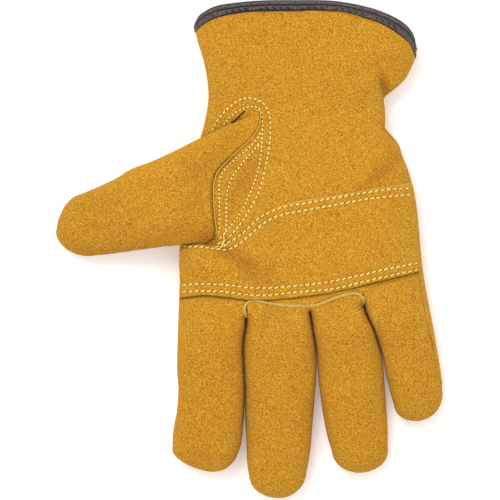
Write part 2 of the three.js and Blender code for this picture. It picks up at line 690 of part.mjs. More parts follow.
// Boolean cut of one closed mesh by another
function solidOf(geometry) {
  const bare = mergeVertices(
    new THREE.BufferGeometry()
      .setAttribute("position", geometry.getAttribute("position").clone())
      .setIndex(geometry.index ? geometry.index.clone() : null),
    1e-4,
  );
  return new wasm.Manifold(
    new wasm.Mesh({
      numProp: 3,
      vertProperties: new Float32Array(bare.attributes.position.array),
      triVerts: new Uint32Array(bare.index.array),
    }),
  );
}
function cut(geometry, tool) {
  const mesh = solidOf(geometry).subtract(solidOf(tool)).getMesh();
  const made = new THREE.BufferGeometry();
  made.setAttribute("position", new THREE.BufferAttribute(mesh.vertProperties, 3));
  made.setIndex(new THREE.BufferAttribute(mesh.triVerts, 1));
  return made;
}

// The thumb's hole in the palm, as an upright cutter
function thumbHole() {
  const [from, to, count] = [-25.5, 22.5, 10];
  const across = steps(count).map((t) => lerp(from, to, t));
  const nearSide = across.map((q) => thumbFrame(thumbSeam(q) + HOLE_MARGIN, q));
  const farSide = across.map((q) => thumbFrame(holeEdge(q) - HOLE_MARGIN, q));
  const outline = [...nearSide, ...farSide.reverse()];
  const shape = new THREE.Shape(outline.map((p) => new THREE.Vector2(p.x, p.y)));
  const prism = new THREE.ExtrudeGeometry(shape, { depth: 30, bevelEnabled: false });
  return prism.translate(0, 0, 8);
}

// The tape that binds the cuff: a channel over the rims of the front and back walls. Its
// faces are split along the same diagonals as the walls that they lie on.
const DEEP_CORNERS = [0, 5, 6, 9];
const RIM_SIDE = 7; // the channel's bottom, which starts at this corner
function bindingGeometry() {
  const shares = [0, 1, 2, 3].flatMap((k) => columnsOf(k).slice(k === 0 ? 0 : 1));
  const front = shares.map((u) => [0, 1].map((row) => frontPoint(handPoint(row, u, 1))));
  const back = shares.map((u) => [0, 1].map((row) => backPoint(handPoint(row, u))));
  const loop = [...front, ...back.slice(1).reverse()];
  const stations = loop.map(([rim, deep], i) => {
    const ahead = loop[(i + 1) % loop.length][0].p;
    const behind = loop[(i + loop.length - 1) % loop.length][0].p;
    const up = ahead.clone().sub(behind).cross(rim.n).normalize();
    if (up.y < 0) up.negate();
    const at = (from, out, rise = 0) =>
      from.p.clone().addScaledVector(from.n, out).addScaledVector(up, rise);
    const far = TAPE_GAP + TAPE;
    const inner = -LEATHER - TAPE_INNER_GAP;
    return [
      at(deep, far), at(rim, far), at(rim, 0, far), at(rim, -LEATHER, far),
      at(rim, inner - TAPE), at(deep, inner - TAPE), at(deep, inner),
      at(rim, inner, TAPE_GAP), at(rim, TAPE_GAP, TAPE_GAP), at(deep, TAPE_GAP),
    ];
  });
  return ringGeometry(stations, true, (i, corner, side) => {
    const [rim, deep] = loop[i];
    if (side === RIM_SIDE && corner === RIM_SIDE)
      return rim.p.clone().addScaledVector(rim.n, -LEATHER);
    return DEEP_CORNERS.includes(corner) && side !== RIM_SIDE ? deep.p : rim.p;
  });
}

// A body from a row of sections with the same number of corners, closed into a loop or
// capped at both ends. A guide point per corner may choose how each side is split.
function ringGeometry(sections, loop, guide = (i, corner) => sections[i][corner]) {
  const [rows, sides] = [sections.length, sections[0].length];
  const at = (i, j) => (i % rows) * sides + (j % sides);
  const corners = sections.flat();
  const faces = [];
  for (let i = 0; i < (loop ? rows : rows - 1); i++)
    for (let j = 0; j < sides; j++) {
      const quad = [at(i, j), at(i, j + 1), at(i + 1, j + 1), at(i + 1, j)];
      faces.push(...halves(quad, (k) => guide(Math.floor(k / sides), k % sides, j)));
    }
  if (!loop)
    for (let j = 1; j + 1 < sides; j++)
      faces.push(
        [at(0, 0), at(0, j + 1), at(0, j)],
        [at(rows - 1, 0), at(rows - 1, j), at(rows - 1, j + 1)],
      );
  const geometry = new THREE.BufferGeometry();
  const points = corners.flatMap((p) => p.toArray());
  geometry.setAttribute("position", new THREE.Float32BufferAttribute(points, 3));
  geometry.setIndex(faces.flat());
  return outwards(geometry);
}

// Turns a closed geometry's faces outwards if they point in
function outwards(geometry) {
  const p = geometry.getAttribute("position");
  const index = geometry.index.array;
  const v = (i) => new THREE.Vector3().fromBufferAttribute(p, index[i]);
  let volume = 0;
  for (let i = 0; i < index.length; i += 3) volume += v(i).dot(v(i + 1).cross(v(i + 2)));
  if (volume < 0)
    for (let i = 0; i < index.length; i += 3)
      [index[i + 1], index[i + 2]] = [index[i + 2], index[i + 1]];
  return geometry;
}

// The palm patch lies on the palm between two cross lines, just inside both side edges
const PATCH_INSET = { left: 0.012, right: 0.0 };
function patchGrids() {
  const shares = [0, 1, 2, 3].flatMap((k) => columnsOf(k).slice(k === 0 ? 0 : 1));
  const inside = shares.map((u) => clamp(u, PATCH_INSET.left, 1 - PATCH_INSET.right));
  const rows = handRows.filter((row) => row >= 2 && row <= 3);
  return [rows.map((row) => inside.map((share) => frontPoint(handPoint(row, share, 1))))];
}

// A flat strip of leather stood on edge along a line of skin points
function stripGeometry(points, { width, low, high }) {
  const sections = points.map(({ p, n }, i) => {
    const ahead = points[Math.min(i + 1, points.length - 1)].p;
    const behind = points[Math.max(i - 1, 0)].p;
    const side = ahead.clone().sub(behind).cross(n).normalize();
    const corner = (out, up) =>
      p.clone().addScaledVector(side, out * width).addScaledVector(n, up);
    return [
      corner(-0.5, low), corner(0.5, low), corner(0.5, high * 0.6), corner(0.2, high),
      corner(-0.2, high), corner(-0.5, high * 0.6),
    ];
  });
  return ringGeometry(sections, false);
}

// The welt follows its cross line over the set-in fingers and dips into a crotch at each end
function weltLine() {
  const line = SET_IN_FINGERS.flatMap((k, i) => columnsOf(k).slice(i === 0 ? 0 : 1));
  const across = line.map((share) => handPoint(WELT_ROW, share, 1));
  const down = [0.4, 0.7, 0.95];
  const side = (share) => down.map((t) => handPoint(lerp(WELT_ROW, ROOT_ROW, t), share, 1));
  return [...side(bounds[1]).reverse(), ...across, ...side(bounds[3])].map(frontPoint);
}

// The turned edge of palm leather along the thumb's seam, beside the thumb's own corners
const WELT_ENDS = { first: 1, last: 13 };
function thumbWeltLine() {
  const seam = acrossSteps(THUMB_CELLS.across).map((xi) => thumbPlan(0, xi));
  const clear = WELT_WIDTH / 2 + LAP_GAP;
  return seam
    .map((at, i) => {
      const ahead = seam[Math.min(i + 1, seam.length - 1)];
      const behind = seam[Math.max(i - 1, 0)];
      const length = Math.hypot(ahead.x - behind.x, ahead.y - behind.y);
      return frontPoint({
        x: at.x - (clear * (ahead.y - behind.y)) / length,
        y: at.y + (clear * (ahead.x - behind.x)) / length,
      });
    })
    .slice(WELT_ENDS.first, WELT_ENDS.last);
}

const LEATHER_LOOK = { color: 0xd2962f, roughness: 0.95, metalness: 0 };
const materials = {
  leather: new THREE.MeshStandardMaterial(LEATHER_LOOK),
  tape: new THREE.MeshStandardMaterial({ color: 0x4a3f3f, roughness: 0.6, metalness: 0 }),
  welt: new THREE.MeshStandardMaterial({ color: 0xbf9a4c, roughness: 0.9, metalness: 0 }),
};

const glove = new THREE.Group();
function piece(name, geometry, material) {
  const mesh = new THREE.Mesh(geometry, material);
  mesh.name = name;
  glove.add(mesh);
}

piece("palm_front", cut(outwards(wallGeometry(palmGrids())), thumbHole()), materials.leather);
piece("finger_fronts", outwards(wallGeometry(setInGrids())), materials.leather);
piece("back", outwards(wallGeometry(backGrids(), { flip: true })), materials.leather);
piece("thumb_top", outwards(wallGeometry(topGrid)), materials.leather);
piece("thumb_under", outwards(wallGeometry(underGrid, { flip: true })), materials.leather);
piece(
  "palm_patch",
  outwards(wallGeometry(patchGrids(), { thickness: PATCH_LEATHER, lift: LAY_GAP })),
  materials.leather,
);
piece("cuff_binding", bindingGeometry(), materials.tape);
piece(
  "finger_welt",
  stripGeometry(weltLine(), { width: WELT_WIDTH, low: -1.2, high: WELT_PROUD }),
  materials.welt,
);
piece(
  "thumb_welt",
  stripGeometry(thumbWeltLine(), { width: WELT_WIDTH, low: SEAM_GAP, high: 1.5 }),
  materials.welt,
);

// The frame's origin is under the middle of the glove, on the surface that it lies on
const box = new THREE.Box3().setFromObject(glove);
const middle = box.getCenter(new THREE.Vector3());
for (const mesh of glove.children)
  mesh.geometry.translate(-middle.x, -middle.y, -box.min.z);

export default glove;
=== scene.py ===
"""Leather driver glove for the right hand, lying palm up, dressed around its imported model.

Lengths in the tables are millimetres in the drafting plane of the pattern, whose zero is
at DRAFT_ZERO in the frame. Meshes are in metres, in the frame itself.
"""
import math

import bpy
import numpy as np
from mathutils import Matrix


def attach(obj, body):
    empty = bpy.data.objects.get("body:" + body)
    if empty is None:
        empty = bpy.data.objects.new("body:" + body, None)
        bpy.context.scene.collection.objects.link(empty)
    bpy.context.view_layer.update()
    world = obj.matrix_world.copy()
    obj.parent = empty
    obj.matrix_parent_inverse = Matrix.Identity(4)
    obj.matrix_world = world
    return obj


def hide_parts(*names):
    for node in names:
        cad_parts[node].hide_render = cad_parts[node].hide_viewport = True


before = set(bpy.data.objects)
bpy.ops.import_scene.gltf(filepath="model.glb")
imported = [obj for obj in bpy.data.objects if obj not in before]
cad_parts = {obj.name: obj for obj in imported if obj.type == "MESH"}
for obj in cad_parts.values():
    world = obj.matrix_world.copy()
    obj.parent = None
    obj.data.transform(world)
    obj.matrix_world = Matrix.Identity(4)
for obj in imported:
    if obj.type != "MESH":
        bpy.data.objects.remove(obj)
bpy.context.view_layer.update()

bl_info = {
    "name": "Leather Driver Glove",
    "version": (1, 0, 0),
    "blender": (4, 5, 0),
    "location": "3D View > Sidebar > Glove",
    "description": "Sewn leather glove with stitched seams, a bound cuff and a studio stage",
    "category": "Add Mesh",
}

MM = 0.001
DRAFT_ZERO = np.array([0.29, -0.222])

# The photograph's frame: its middle pixel is the drafting zero
PHOTO_MIDDLE = 250.0
MM_PER_PIXEL = 0.51

# Leather and seams
SEAM_GAP = 0.3
ON_OUTLINE = 0.1
WELT_SLOT = 1.2

# Distance in from the outline over which a wall turns from upright to level
PALM_TURN = 28.0
FINGER_TURN = 14.0
CROTCH_TURN = 5.0
BACK_TURN = 9.0
THUMB_TURN = 14.0
FRONT_FULLNESS = 2.5
THUMB_SEAM_ROLL = 1.4
THUMB_SEAM_RISE = 26.0
THUMB_ROLL_SHARE, THUMB_RISE_SHARE = 0.18, 0.82  # of its height, by the roll and by the rise
THUMB_ROOT_FLAT = 0.3
THUMB_ROOT_REACH = (2, 24)
THUMB_ROOT_END = (-29.0, -31.0)
THUMB_CORNER = (-20.5, 5.5)
THUMB_CORNER_REACH = 6.0
RIM_LIFT = 2.5
RIM_LIFT_LENGTH = 14.0
LITTLE_SLIMMER = 1.8  # how much lower the little finger lies, from these x on
LITTLE_FROM = (58, 68)
WALL_PULL = 6.0  # how strongly the normals turn level by the outline
WALL_PULL_REACH = (0.3, 1.8)  # and how near to it
WELD_PER_MM = 200  # corners become one when they round to the same 1/200 mm
SHARP_DEGREES = 50

# The stage, in metres and watts
FLOOR_HALF = 3.0
FLOOR_DROP = 0.00015
FLOOR_GLOW = 0.16
LAMP_PLACE = (-0.9, 1.5, 2.9)
LAMP_WIDTH = 1.5
LAMP_POWER = 40.0
MIDDLE_HEIGHT = 0.01  # of the side seams, where the picture has its width
SENSOR_WIDTH = 36.0  # millimetres
NEAR_CLIP, FAR_CLIP = 0.1, 20.0

# Heights along the glove: y, the side seam, the top of the palm's side
HEIGHTS = [
    (127, 11.5, 25.0), (100, 11.0, 25.0), (72, 9.5, 22.0), (40, 9.5, 24.0), (5, 9.5, 25.5),
    (-25, 9.0, 23.5), (-50, 8.8, 20.0), (-90, 8.5, 19.0), (-127, 8.2, 17.5),
]

# Outline of the thumb's side: y, x
RADIAL_EDGE = [
    (112.7, -28.6), (105, -26.5), (97, -24), (86.5, -21.9), (76.5, -21.4), (66.5, -23),
    (58, -25.2), (48.5, -29.5), (35.5, -34.5), (23, -37), (10, -36.4), (0, -35.7),
    (-25.5, -36.2), (-46, -36.9), (-61, -37.2), (-71.5, -36.7), (-81.5, -37.5),
    (-92, -39.3), (-102, -39.8),
]

# Outline of the little finger's side: y, x, how far the back laps over onto the palm
ULNAR_EDGE = [
    (102, 84.7, 0), (97.5, 84.4, 0), (92.8, 82.6, 0), (88.2, 80.1, 0), (84.7, 77, 0),
    (81.1, 72.9, 0), (78.3, 69.6, 0), (77.6, 68.7, 0), (76.9, 68.45, 0), (73.4, 68.8, 0),
    (65.3, 69.1, 0), (62.8, 69.0, 0), (62.1, 69.3, 0), (60.2, 70.9, 0), (57.6, 73.2, 0),
    (54.1, 75.9, 0), (49, 77.5, 0), (41, 80.6, 0.6), (30.5, 83.6, 1.4),
    (20.5, 85.2, 1.8), (5, 86.7, 2.1), (-10, 88.2, 2.4), (-25.5, 90.8, 2.6),
    (-41, 93.8, 2.4), (-56, 96.4, 1.6), (-66.5, 97.9, 0.6), (-71, 98.3, 0), (-73.5, 98.4, 0),
]
LEAST_LAP = 0.3
LAP_RANGE = (40, -66)  # from where to where its seam shows on the palm's side

# Lines across the hand, as (share of the width, y)
CROSS_LINES = {
    "rim": [
        (0, 113.4), (0.0135, 116.7), (0.045, 119.8), (0.095, 122.3), (0.185, 124.1),
        (0.275, 125.1), (0.455, 125.5), (0.635, 125), (0.757, 122.6), (0.838, 119.9),
        (0.896, 117), (0.941, 114.1), (0.973, 110.7), (0.991, 107), (1, 102.6),
    ],
    "tape_edge": [
        (0, 110.6), (0.025, 113.6), (0.07, 116.7), (0.14, 119), (0.23, 120.6),
        (0.434, 121.2), (0.616, 121.2), (0.684, 120.6), (0.761, 118), (0.843, 114.6),
        (0.898, 111.3), (0.943, 107.6), (0.975, 103.6), (0.991, 100.6), (1, 97.4),
    ],
    "patch_top": [
        (0, 2.6), (0.11, 2.6), (0.177, 2), (0.22, 4.6), (0.276, 9.2), (0.35, 16.6),
        (0.405, 20.9), (0.47, 23.7), (0.556, 25.8), (0.685, 28.1), (0.815, 30.6), (1, 34.2),
    ],
    "patch_bottom": [
        (0, -25), (0.043, -24), (0.104, -23.2), (0.145, -23.5), (0.215, -24.5),
        (0.288, -25.5), (0.337, -25.5), (0.45, -24.5), (0.575, -22.4), (0.697, -19.4),
        (0.82, -15.8), (1, -10.7),
    ],
    "welt": [
        (0, -28), (0.2, -28.2), (0.26, -27.4), (0.285, -26.1), (0.32, -25.7), (0.37, -27),
        (0.43, -28), (0.49, -28.5), (0.54, -28), (0.59, -26.4), (0.65, -23.8), (0.7, -22.3),
        (0.73, -22.6), (0.76, -23.8), (0.88, -22), (1, -18),
    ],
    "crotches": [(0, -34.7), (0.27, -34.7), (0.53, -31.8), (0.745, -28.3), (1, -24)],
}
CELLS_BETWEEN = (4, 76, 46, 3, 7)
RIM_ROW, TAPE_ROW, PATCH_TOP_ROW, PATCH_LOW_ROW, WELT_ROW, ROOT_ROW = range(6)
CELLS_PER_FINGER = 40
CELLS_ALONG_FINGER = 66
TIP_CROWDING = 1.6
OUTLINE_STEPS = 60  # straight pieces of an outline along a digit's side
OUTLINE_ROWS = 480  # and along a side of the hand

# How a point is placed against an outline: points at a time, how far outside it still
# counts as on it, from where its own direction counts, and the reach of a notch
POINTS_AT_ONCE = 3000
OUTSIDE_REACH = 0.6
CLEAR_FROM = 0.05
NOTCH_REACH = 0.3

# Past the crotches: over which length the fingers take their own form, on the palm's side
# its walls and its ridges, and on the back
FRONT_WALLS_LENGTH = 28
FRONT_RIDGES_LENGTH = 55
BACK_WALLS_LENGTH = 20

# The fingers' sides below the crotches, as (distance towards the fingertips, x)
CROTCH_X = (-1.9, 30.6, 57.9)
TOUCH_UNTIL = (90.0, 52.0, 54.0)  # how far towards the tips neighbours lie against each other
FINGERS = [
    {
        "right": [
            (38, -1.95), (42, -2.7), (47, -3.38), (52, -3.48), (58, -3.28), (66, -2.83),
            (72, -2.58), (78.5, -2.78), (84, -2.95), (89, -3.5),
        ],
        "tip": dict(along=113.5, across=-19.4, left=102.0, right=89.0, power=(1.6, 2.3)),
    },
    {
        "left": [
            (38, -1.83), (42, -2.58), (47, -3.25), (52, -3.35), (58, -3.15), (66, -2.7),
            (72, -2.45), (78.5, -2.58), (84, -2.42), (97, -1.9), (110, -1.3), (116, -0.3),
        ],
        "right": [
            (36, 31.2), (41, 32.0), (50, 33.5), (58.5, 34.0), (66.5, 33.6), (86.5, 32.1),
            (107, 30.1), (113, 28.9),
        ],
        "tip": dict(along=126.7, across=14.8, left=116.0, right=113.0, power=(2.0, 2.0)),
    },
    {
        "left": [
            (36, 31.3), (41, 32.1), (50, 33.62), (58.5, 34.35), (66.5, 35.0), (76.5, 36.2),
            (86.5, 37.7), (97, 40.0), (102.5, 41.8),
        ],
        "right": [
            (33, 59.45), (38.5, 62.0), (46, 64.9), (53.5, 67.1), (61, 68.1), (69, 68.6),
            (79, 69.4), (89, 70.1), (103, 70.4),
        ],
        "tip": dict(along=113.9, across=55.6, left=102.5, right=103.0, power=(2.0, 2.0)),
    },
    {
        "left": [
            (33, 59.6), (38.5, 62.13), (46, 65.03), (53.5, 67.3), (61, 68.85), (68, 70.4),
            (74, 71.9), (80, 73.7),
        ],
        "tip": dict(along=87.5, across=84.7, left=80.0, right=73.5, power=(2.0, 2.0)),
    },
]

# The thumb: along is towards its tip, and across is towards its lower side
THUMB_ORIGIN = (-17.9, 30.6)
THUMB_DEG = 13.5
THUMB_LEFT = [
    (-26.8, -35), (-20.3, -32.1), (-11.6, -30.4), (-5.4, -28.9), (0, -27.6),
    (14.5, -24.5), (26.5, -22.1), (38.5, -19.7), (49.5, -17.2), (63, -15), (67, -14.4),
]
THUMB_RIGHT = [(10.7, 25.5), (24, 23.4), (34, 22), (50, 20), (62, 19.2), (66, 18.6)]
THUMB_TIP = dict(along=84.0, across=3.5, left=67.0, right=66.0, power=(1.6, 2.0))
THUMB_SEAM = [
    (-35, -26.8), (-33.7, -30), (-30, -30.3), (-25, -27.7), (-20.5, -22.3), (-17.5, -16.5),
    (-13, -9), (-9, -3.4), (-4.5, -0.4), (4.5, 2.2), (15, 4), (22, 5.4), (24.8, 8),
    (25.5, 10.7),
]
THUMB_HOLE_EDGE = [(-20.5, -1.0), (-11.5, 8.0), (0, 13.5), (13, 15.5), (19, 16)]
UNDER_STARTS = 0.158  # how far along the thumb's sides its underside starts
UNDER_JOINS = 0.303  # and where it has spread to its full width
THUMB_HEIGHTS = [
    (-31, 27.5, 21), (-18, 31.5, 20.5), (0, 35, 19), (15, 34, 17.2), (40, 27.5, 10.4),
    (65, 19.5, 3.2), (76, 16.8, 1.0), (84, 15.8, 0.4),
]
THUMB_CELLS = (56, 84)
THUMB_SEAM_SHARE = 0.42
HOLE_MARGIN = 1.9
HOLE_RANGE = (-25.5, 22.5)  # from side to side of the thumb's hole
UNDER_SQUARENESS = 12
THUMB_ON_PALM = 0.5  # how high the thumb's seam and root lie over the palm
THUMB_CORNER_LIFT, THUMB_LIFT_FROM = 1.9, (17, 23)
THUMB_SIDE_FROM, THUMB_UNDER_FROM = (2, 18), (0, 9)

# Dents and folds: middle x, y, direction in degrees, half length, half width, rise
FOLDS = {
    "pinch_valley": (68.3, 81.0, -74, 7.5, 2.3, -5.5),
    "pinch_ridge_top": (61.8, 86.6, -22, 5.0, 2.6, 1.3),
    "pinch_ridge": (66.0, 81.6, -66, 5.5, 1.9, 2.4),
    "wrist_bulge": (61.0, 74.0, -80, 10.0, 5.0, 0.8),
    "lower_notch": (71.0, 59.8, -52, 4.2, 1.5, -4.0),
    "lower_ridge": (66.2, 59.8, -42, 5.0, 2.0, 1.1),
    "heel_dent": (66.0, 38.5, 42, 14.0, 3.4, -1.5),
    "heel_bulge": (60.0, 45.0, 42, 14.0, 5.0, 0.7),
    "crotch_dent": (-4.0, -6.5, -34, 15.0, 4.5, -1.75),
    "crotch_dent_top": (-14.5, 0.5, -24, 8.0, 3.0, -1.2),
    "ball_bulge": (-20.0, -9.5, -25, 11.0, 6.0, 1.5),
    "gusset_dent": (-1.5, 37.0, 58, 17.0, 4.0, -1.3),
}

FOLD_DEPTH = 2.6
FOLD_SHADE_RATE = 1.1
FOLD_SHADE_ON_WALL = 0.3
WALL_SHADE_REACH = (0.2, 1.4)
# Painted shade on the thumb: at its lower corner and on its lower side, less where its upper root is
# lit, and less towards its outline there
THUMB_SHADE = {"corner": 0.7, "lit": 1.3, "lower_side": 0.25}
THUMB_OUTLINE_SHADE = {"even": 0.7, "lit": 0.5}
SHADE_LENGTH = 25  # past the crotches, over which the fingers take their shade
FINGER_SHADE = 0.16
# Painted shade towards the outline, where the colour turns a little less red
OUTLINE_SHADE_REACH = 12.0  # how far in from the outline the nap looks yellower

# Painted shade along lines on the palm: how strong it is, and how far it reaches
PAINTED_SHADE_LINES = {"patch": (0.8, 0.55), "lap": (0.6, 0.45), "thumb": (0.5, 0.5)}
SLIT_REACH = 0.45
SLIT_STARTS = 3  # over this length past the crotches
SLIT_ENDS = (-4, 6)  # round the place where two neighbours part
SEAM_REACH = 1.3
GROOVE_REACH = 1.1

# Painted shade on the thumb, by the distance across it: its line on the palm, from thin to wide
# at its lower corner, and its lower edge
THUMB_LINE_REACH, THUMB_LINE_STRENGTH = (0.3, 0.9), (0.45, 0.9)
THUMB_EDGE_REACH, THUMB_EDGE_STRENGTH = 0.7, 0.9
THUMB_LINE_FROM, THUMB_CORNER_FROM, THUMB_EDGE_FROM = (-29, -10), (18, 25), (15, 18)

# The patch: rows close to its two edges, where it starts as a share of the width, and how
# its cut edge is rounded and painted: a painted highlight on its top edge, painted shade on its
# lower edge
PATCH_EDGE_ROWS = (0, 0.006, 0.013, 0.022)
PATCH_STARTS = 0.012
PATCH_EDGE_ROUND = 0.9
PATCH_CUT_REACH = 0.5
PATCH_INNER_ROWS = 0.035  # and from where its rows are even
PATCH_EDGE_SHARES = (0.45, 0.55)  # of its thickness, at its edge and by the rounding
PATCH_EDGE_LIGHT_AND_SHADE = {"top": 0.8, "low": 0.75}

# The tape's outer face: share of its width from its lower edge up, how far it stands out
TAPE_FACE = [
    (0, -0.45), (0.07, -0.1), (0.2, 0.12), (0.38, 0.2), (0.56, 0.1), (0.65, -0.15),
    (0.72, -0.55), (0.8, 0.0), (0.9, 0.2), (1, 0.2),
]
TAPE_GROOVE = 0.72
TAPE_SEWN = 0.36
TAPE_STATIONS = 8
TAPE_SMOOTHED = 7
TAPE_ROLL = 0.62
TAPE_SLIMMEST = (0.5, 0.6)
# Its sewing and its dark lines of painted shade, as shares of its width: half a dip's height, how a
# dip slants, how narrow it is, how deep in tapes, and half the lines' heights at the sides of
# the cuff and in its middle
TAPE_DIP_HALF = 0.17
TAPE_DIP_SLANT = 0.9
TAPE_DIP_POWER = 2.5
TAPE_DIP_DEPTH = 0.5
TAPE_GROOVE_HALF = (0.05, 0.085)
TAPE_EDGE_HALF = (0.13, 0.26)
TAPE_MIDDLE = ((-20, -5), (30, 48))
TAPE_THREAD_AND_SHADE = {"groove": 0.95, "edge": 1, "dip": 0.9, "top": 0.85}
TAPE_SPECK = 0.6
TAPE_CLEARANCE = 0.25  # between the tape and the leather that it holds
TAPE_TOP_FROM = (0.35, 0.8)
RIM_NUDGE = 0.05  # reach of the normals at the rim

# Stitch rows of the photograph, as named routes of pixels
STITCH_ROWS = {
    "thumb_outer": [
        (211.6, 132), (216.5, 122.6), (222.6, 114.6), (229.2, 108), (235.8, 102.8),
        (243.8, 99.1), (252.4, 98.8), (259.6, 101.4), (265.3, 106), (268.8, 113),
        (270.3, 123), (270.2, 134), (269.5, 144), (267.9, 155), (265.9, 165),
        (263.7, 175.2), (260.8, 186), (257, 196), (252.4, 205.6), (247.2, 214),
        (241.5, 222.6), (235.2, 230.6), (228.9, 237.5),
    ],
    "thumb_inner": [
        (223, 126.3), (227.4, 120.6), (233.2, 115), (239.5, 111), (246, 108.3), (254, 107),
        (259.4, 109.4), (262, 116), (262.5, 124), (262.3, 135), (261.7, 146), (260.2, 160),
        (257.2, 174), (252.4, 188), (246, 203), (238.5, 216), (230.3, 226.6),
        (222.3, 236.4), (219.5, 239.2),
    ],
    "seam_row": [
        (260.7, 132.6), (257, 139.3), (251.5, 145.6), (244.9, 152), (237.8, 157.3),
        (230.3, 164.2), (223.1, 172.2), (219.8, 181.8), (219.2, 187.6), (219.7, 203),
        (219.7, 217), (219.3, 229), (218.8, 234),
    ],
    "seam_row_outer": [
        (259.3, 144), (252, 152.7), (245.2, 159.6), (239, 167.8), (234, 174.3),
        (230.3, 181.5), (228, 188.7), (226.5, 200.8), (226.3, 214), (226.2, 227),
        (224.9, 234), (223.4, 239.8),
    ],
    "patch_top": [
        (220.3, 245.5), (230, 241.8), (239.5, 235.8), (249, 227.5), (258, 218.8),
        (269.6, 212.2), (284.5, 207), (302, 204), (330, 198.8), (360, 193.8), (396, 189),
        (409.5, 188.5),
    ],
    "patch_top_inner": [
        (215.7, 248.7), (220.3, 249.8), (226, 249.8), (231.7, 248.4), (242, 241.5),
        (252.4, 233), (262, 224.6), (272, 218.6), (284.5, 214.2), (298, 211.7),
        (333.6, 205.3), (365, 199.6), (396, 196), (411, 194.7),
    ],
    "patch_corner": [(182, 247), (195, 246.7), (206.5, 247.5), (215.7, 248.7)],
    "patch_low_inner": [
        (181.5, 285), (201, 283.8), (226, 284.7), (248.8, 287.4), (265.6, 287.8),
        (293.4, 285.8), (324.6, 282.2), (356, 276), (382.7, 269.7), (418.4, 262.6),
    ],
    "patch_low": [
        (181.5, 292), (201, 290.7), (225, 291.6), (248, 294.5), (266.4, 295), (298, 291.6),
        (333.6, 288.5), (360.4, 282.2), (387, 276), (418.4, 269.3),
    ],
}
# The pale strip in the seam of the set-in fingers, and the gap over the thumb's root
FINGER_WELT = [
    (246.2, 317), (244.8, 308), (246, 303.6), (249.5, 301), (253.5, 300.2), (258, 300.5),
    (265.6, 302.3), (273, 303.6), (296, 305.6), (317.6, 304.3), (329, 300), (342.5, 295.2),
    (354, 293.2), (360.2, 295), (363, 300), (362.6, 305.5),
]
# Crossing ends of the rows: pixel, direction in degrees, length
KNOT = [
    (219.4, 243.2, 35, 2.4), (222.8, 243.0, 75, 2.2), (217.0, 246.6, 10, 2.2),
    (221.6, 246.6, 48, 2.6), (225.4, 245.4, 25, 2.2), (219.2, 249.0, -12, 2.2),
    (224.4, 241.0, 60, 2.0),
]
THUMB_EDGE = [(200.4, 138), (212, 132.2), (223, 126.2), (233, 122.2), (245, 116.5)]
EDGE_BESIDE_SEAM = 0.65  # how far the thumb's raw edge lies from its seam
EDGE_RANGE = (-0.97, 0.9)  # from where to where the thumb's raw edge shows, by its width
THUMB_GAP = [(231.6, 123.4), (236.5, 119.6), (241, 115), (245.2, 111.6)]
# Strips on the palm: step along the line, reach of the normals, width, lower and upper side
STRIPS = {
    # a dark strip painted as the shadow in the gap over the thumb's root
    "thumb_root_painted_shadow": (0.5, 0.3, 0.55, 0.2, 1.0),
    "finger_welt_strip": (0.6, 0.8, 1.5, -1.6, 0.4),
    "thumb_raw_edge": (0.8, 0.3, 0.6, 0.0, 1.5),
}
ROWS_ON_PALM = ("thumb_outer", "thumb_inner", "seam_row", "seam_row_outer")
ROWS_ON_PATCH = ("patch_top", "patch_top_inner", "patch_corner", "patch_low_inner", "patch_low")


def curve(rows, value=1):
    """A smooth function through rows of (at, ..., value): cubic pieces, whose slope at a
    row is the mean of the slopes on both sides, each weighted by the other's length."""
    table = np.array(sorted(rows), dtype=float)
    x, y = table[:, 0], table[:, value]
    h = np.diff(x)
    secant = np.diff(y) / h
    inner = (h[1:] * secant[:-1] + h[:-1] * secant[1:]) / (h[:-1] + h[1:])
    slope = np.concatenate([secant[:1], inner, secant[-1:]])

    def at(where):
        where = np.clip(where, x[0], x[-1])
        i = np.clip(np.searchsorted(x, where, side="right") - 1, 0, len(h) - 1)
        t = (where - x[i]) / h[i]
        rest = 1 - t
        return (
            rest**2 * (1 + 2 * t) * y[i] + rest**2 * t * h[i] * slope[i]
            + t**2 * (3 - 2 * t) * y[i + 1] - t**2 * rest * h[i] * slope[i + 1]
        )

    return at


def mix(a, b, t):
    """From a at t = 0 to b at t = 1."""
    return a + (b - a) * t


def ramp(x, low, high):
    """0 below low, 1 above high, and 3t^2 - 2t^3 between."""
    t = np.clip((x - low) / (high - low), 0, 1)
    return t * t * (3 - 2 * t)


def turned(distance, turn, fullness=2.0):
    """Share of the full height at a distance in from the outline: a quarter of a
    superellipse, which is a plain ellipse at a fullness of 2."""
    left = 1 - np.clip(distance / turn, 0, 1)
    return (1 - left**fullness) ** (1 / fullness)


def bell(t):
    """1 at 0, falling off to both sides as exp(-t^2)."""
    return np.exp(-t * t)


def turned_by(x, y, degrees):
    """Plan coordinates turned anticlockwise by an angle."""
    c, s = math.cos(math.radians(degrees)), math.sin(math.radians(degrees))
    return x * c - y * s, x * s + y * c


radial_x = curve(RADIAL_EDGE)
ulnar_x = curve(ULNAR_EDGE, 1)
lap_rows = curve(ULNAR_EDGE, 2)
seam_height = curve(HEIGHTS, 1)
top_height = curve(HEIGHTS, 2)
LINES = [curve(rows) for rows in CROSS_LINES.values()]
ROOT_ENDS = (float(radial_x(LINES[ROOT_ROW](0.0))), float(ulnar_x(LINES[ROOT_ROW](1.0))))
BOUNDS = [0.0, *((x - ROOT_ENDS[0]) / (ROOT_ENDS[1] - ROOT_ENDS[0]) for x in CROTCH_X), 1.0]
rim_over_x = curve([
    (mix(float(radial_x(200.0)), float(ulnar_x(200.0)), share), y)
    for share, y in CROSS_LINES["rim"]
])


def ulnar_lap(y):
    """How far the back laps onto the palm at y, and nothing under the least lap."""
    lap = lap_rows(y)
    return np.where(lap < LEAST_LAP, 0.0, lap)


